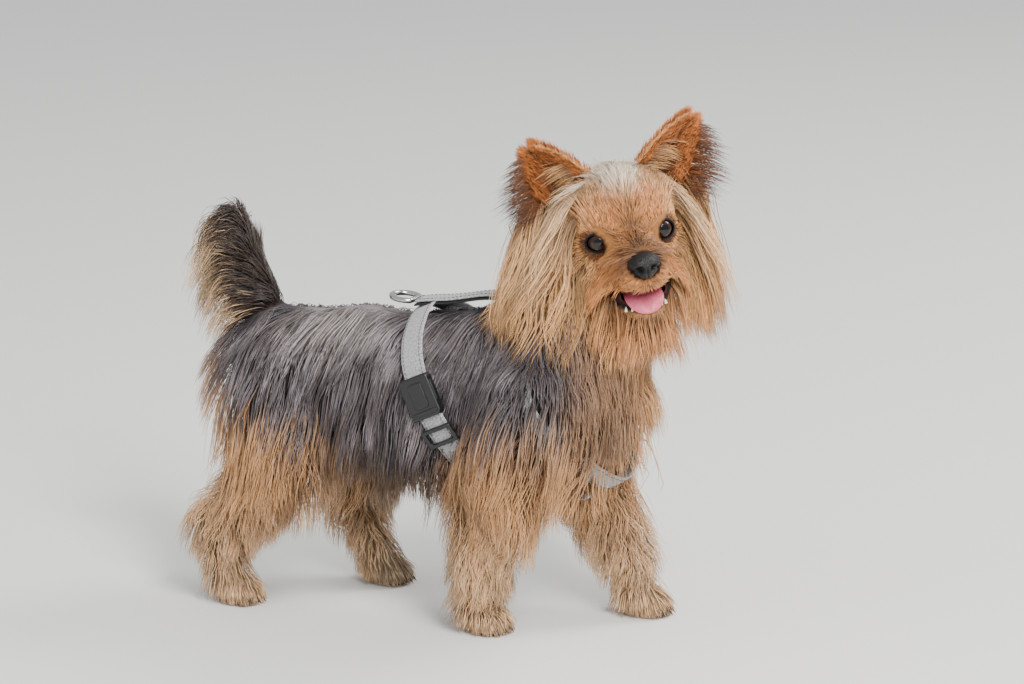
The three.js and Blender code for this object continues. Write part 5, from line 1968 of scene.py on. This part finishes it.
def make_stitches(name, path, outs, is_loop, tree):
    """Two rows of stitches, one near each edge of a strap."""
    group, pitch, thread = tree
    curve = bpy.data.curves.new(name, "CURVE")
    curve.dimensions = "3D"
    ahead = np.roll(path, -1, 0) if is_loop else np.concatenate([path[1:], path[-1:]])
    tangent = unit(ahead - path)
    if not is_loop:
        tangent[-1] = tangent[-2]
    across = unit(np.cross(tangent, outs))
    out = np.cross(across, tangent)
    for side in (-1, 1):
        seam = path + across * side * (WEB_WIDTH / 2 - 1.9) + out * (WEB_THICK / 2 + 0.02)
        spline = curve.splines.new("POLY")
        spline.points.add(len(seam) - 1)
        for point, place in zip(spline.points, to_scene(seam)):
            point.co = (*place, 1)
        spline.use_cyclic_u = is_loop
    holder = in_scene(name, curve)
    modifier = holder.modifiers.new("stitches", "NODES")
    modifier.node_group = group
    modifier[pitch] = STITCH_PITCH * MM
    modifier[thread] = STITCH_THREAD * MM
    mesh = plain_mesh(holder)
    bpy.data.objects.remove(holder)
    finish_piece(in_scene(name, mesh), "webbing")


def make_harness():
    straps = (
        ("girth_strap", girth_path, girth_out, True),
        ("neck_strap", neck_path, neck_out, True),
        ("back_strap", back_path, back_out, False),
        ("chest_strap", chest_path, chest_out, False),
    )
    tree = stitch_tree()
    for name, path, outs, is_loop in straps:
        made = band(name, path, outs, is_loop, WEB_WIDTH, WEB_THICK, webbing_finish)
        finish_piece(made, "webbing", name)
        make_stitches("stitches_" + name, path, outs, is_loop, tree)
    lower = back_path - back_out * 1.9
    under = band("back_strap_backing", lower, back_out, False, WEB_WIDTH + 3, 1.6, backing_finish)
    finish_piece(under, "webbing")
    make_buckle()
    make_slider("girth_slider", girth_path, girth_out, GIRTH_SLIDER_AT)
    make_slider("chest_slider", neck_path, neck_out, NECK_SLIDER_AT)
    make_ring()


# Making


def make_body():
    skin = make_skin()
    paint_skin(skin)
    skin.data.polygons.foreach_set("use_smooth", np.ones(len(skin.data.polygons), bool))
    finish_piece(
        skin,
        "coat_body",
        *PARTS,
        *[kind + "paw_" + side for kind in ("fore", "hind") for side in SIDES],
    )
    return skin


ROOTS = 220000  # places tried over the whole skin
LEG_COAT_TOP = 120.0  # above this the coat on hips and shoulders is that of the trunk


def make_coat(skin):
    points = scatter(skin.data, ROOTS, 7)
    owners = nearest_part(points)
    is_leg = np.array(["leg" in name for name in PARTS])[owners]
    owners = np.where(is_leg & (points[:, 2] > LEG_COAT_TOP), PARTS.index("torso"), owners)
    for index, name in enumerate(PARTS):
        grow_part(name, index, points, owners)


skin = make_body()
make_coat(skin)
for side, name in ((-1, "ear_right"), (1, "ear_left")):
    inner_first = make_ear(side, name)
    ear_hair(side, name, 1.0 if inner_first else -1.0)
for side, name in ((-1, "right"), (1, "left")):
    make_eye(side, "eye_" + name)
    make_lids(side, "lids_" + name)
make_nose()
make_tongue()
make_teeth()
make_claws()
make_harness()


# Floor, light and camera


def make_floor():
    mesh = bpy.data.meshes.new("floor")
    size = 6.0
    corners = [(-size, -size, 0), (size, -size, 0), (size, size, 0), (-size, size, 0)]
    mesh.from_pydata(corners, [], [(0, 1, 2, 3)])
    floor = in_scene("floor", mesh)
    mesh.materials.append(plain_material("pale_floor", "#e6e5e1", 0.8, grain=0.05))


def area_light(name, place, aim, size, watts, colour, is_mirrored=True):
    data = bpy.data.lights.new(name, "AREA")
    data.size = size
    data.energy = watts
    data.color = colour
    lamp = in_scene(name, data)
    lamp.location = place
    lamp.rotation_euler = (Vector(aim) - Vector(place)).to_track_quat("-Z", "Y").to_euler()
    lamp.visible_glossy = is_mirrored


CAMERA_AZIMUTH = 26.0
CAMERA_ELEVATION = 13.0
CAMERA_DISTANCE = 2600.0
CAMERA_TARGET = vec(39.6, 58.0, 150.7)
FOCAL_PIXELS = 4407.0
PHOTO_WIDTH = 1024
SENSOR = 36.0


def make_camera():
    azimuth = math.radians(CAMERA_AZIMUTH)
    elevation = math.radians(CAMERA_ELEVATION)
    back = vec(
        math.sin(azimuth) * math.cos(elevation), -math.cos(azimuth) * math.cos(elevation), math.sin(elevation)
    )
    data = bpy.data.cameras.new("camera")
    data.sensor_width = SENSOR
    data.lens = FOCAL_PIXELS / PHOTO_WIDTH * SENSOR
    camera = in_scene("camera", data)
    camera.location = to_scene(CAMERA_TARGET + back * CAMERA_DISTANCE)
    camera.rotation_euler = Vector(-back).to_track_quat("-Z", "Y").to_euler()
    bpy.context.scene.camera = camera


HEAD_PLACE = vec(0.1, 0, 0.25)  # metres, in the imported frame
CATCH_DISTANCE = 1.9


def make_light():
    world = bpy.data.worlds.new("studio")
    bpy.context.scene.world = world
    world.use_nodes = True
    backdrop = world.node_tree.nodes["Background"]
    backdrop.inputs["Color"].default_value = rgba("#e9edf2")
    backdrop.inputs["Strength"].default_value = 0.85
    area_light("key", (1.3, -1.1, 1.9), (0.03, 0, 0.15), 0.7, 58.0, (1.0, 0.95, 0.88))
    # the catch light stands where both eyes mirror it towards the camera, in their upper half
    to_camera = unit(np.array(bpy.context.scene.camera.location) - HEAD_PLACE)
    mirror = unit(head_direction(0.93, 0.0, 0.36))
    catch_place = HEAD_PLACE + CATCH_DISTANCE * (2 * float(to_camera @ mirror) * mirror - to_camera)
    area_light("catch", tuple(catch_place), tuple(HEAD_PLACE), 0.45, 25.0, (0.93, 0.97, 1.0))
    area_light("fill", (-1.4, -1.6, 1.0), (0, 0, 0.15), 1.6, 16.0, (0.92, 0.96, 1.0), False)
    area_light("rim", (1.1, 1.5, 1.7), (0.03, 0, 0.2), 1.0, 42.0, (1.0, 0.98, 0.94))


make_floor()
make_camera()
make_light()
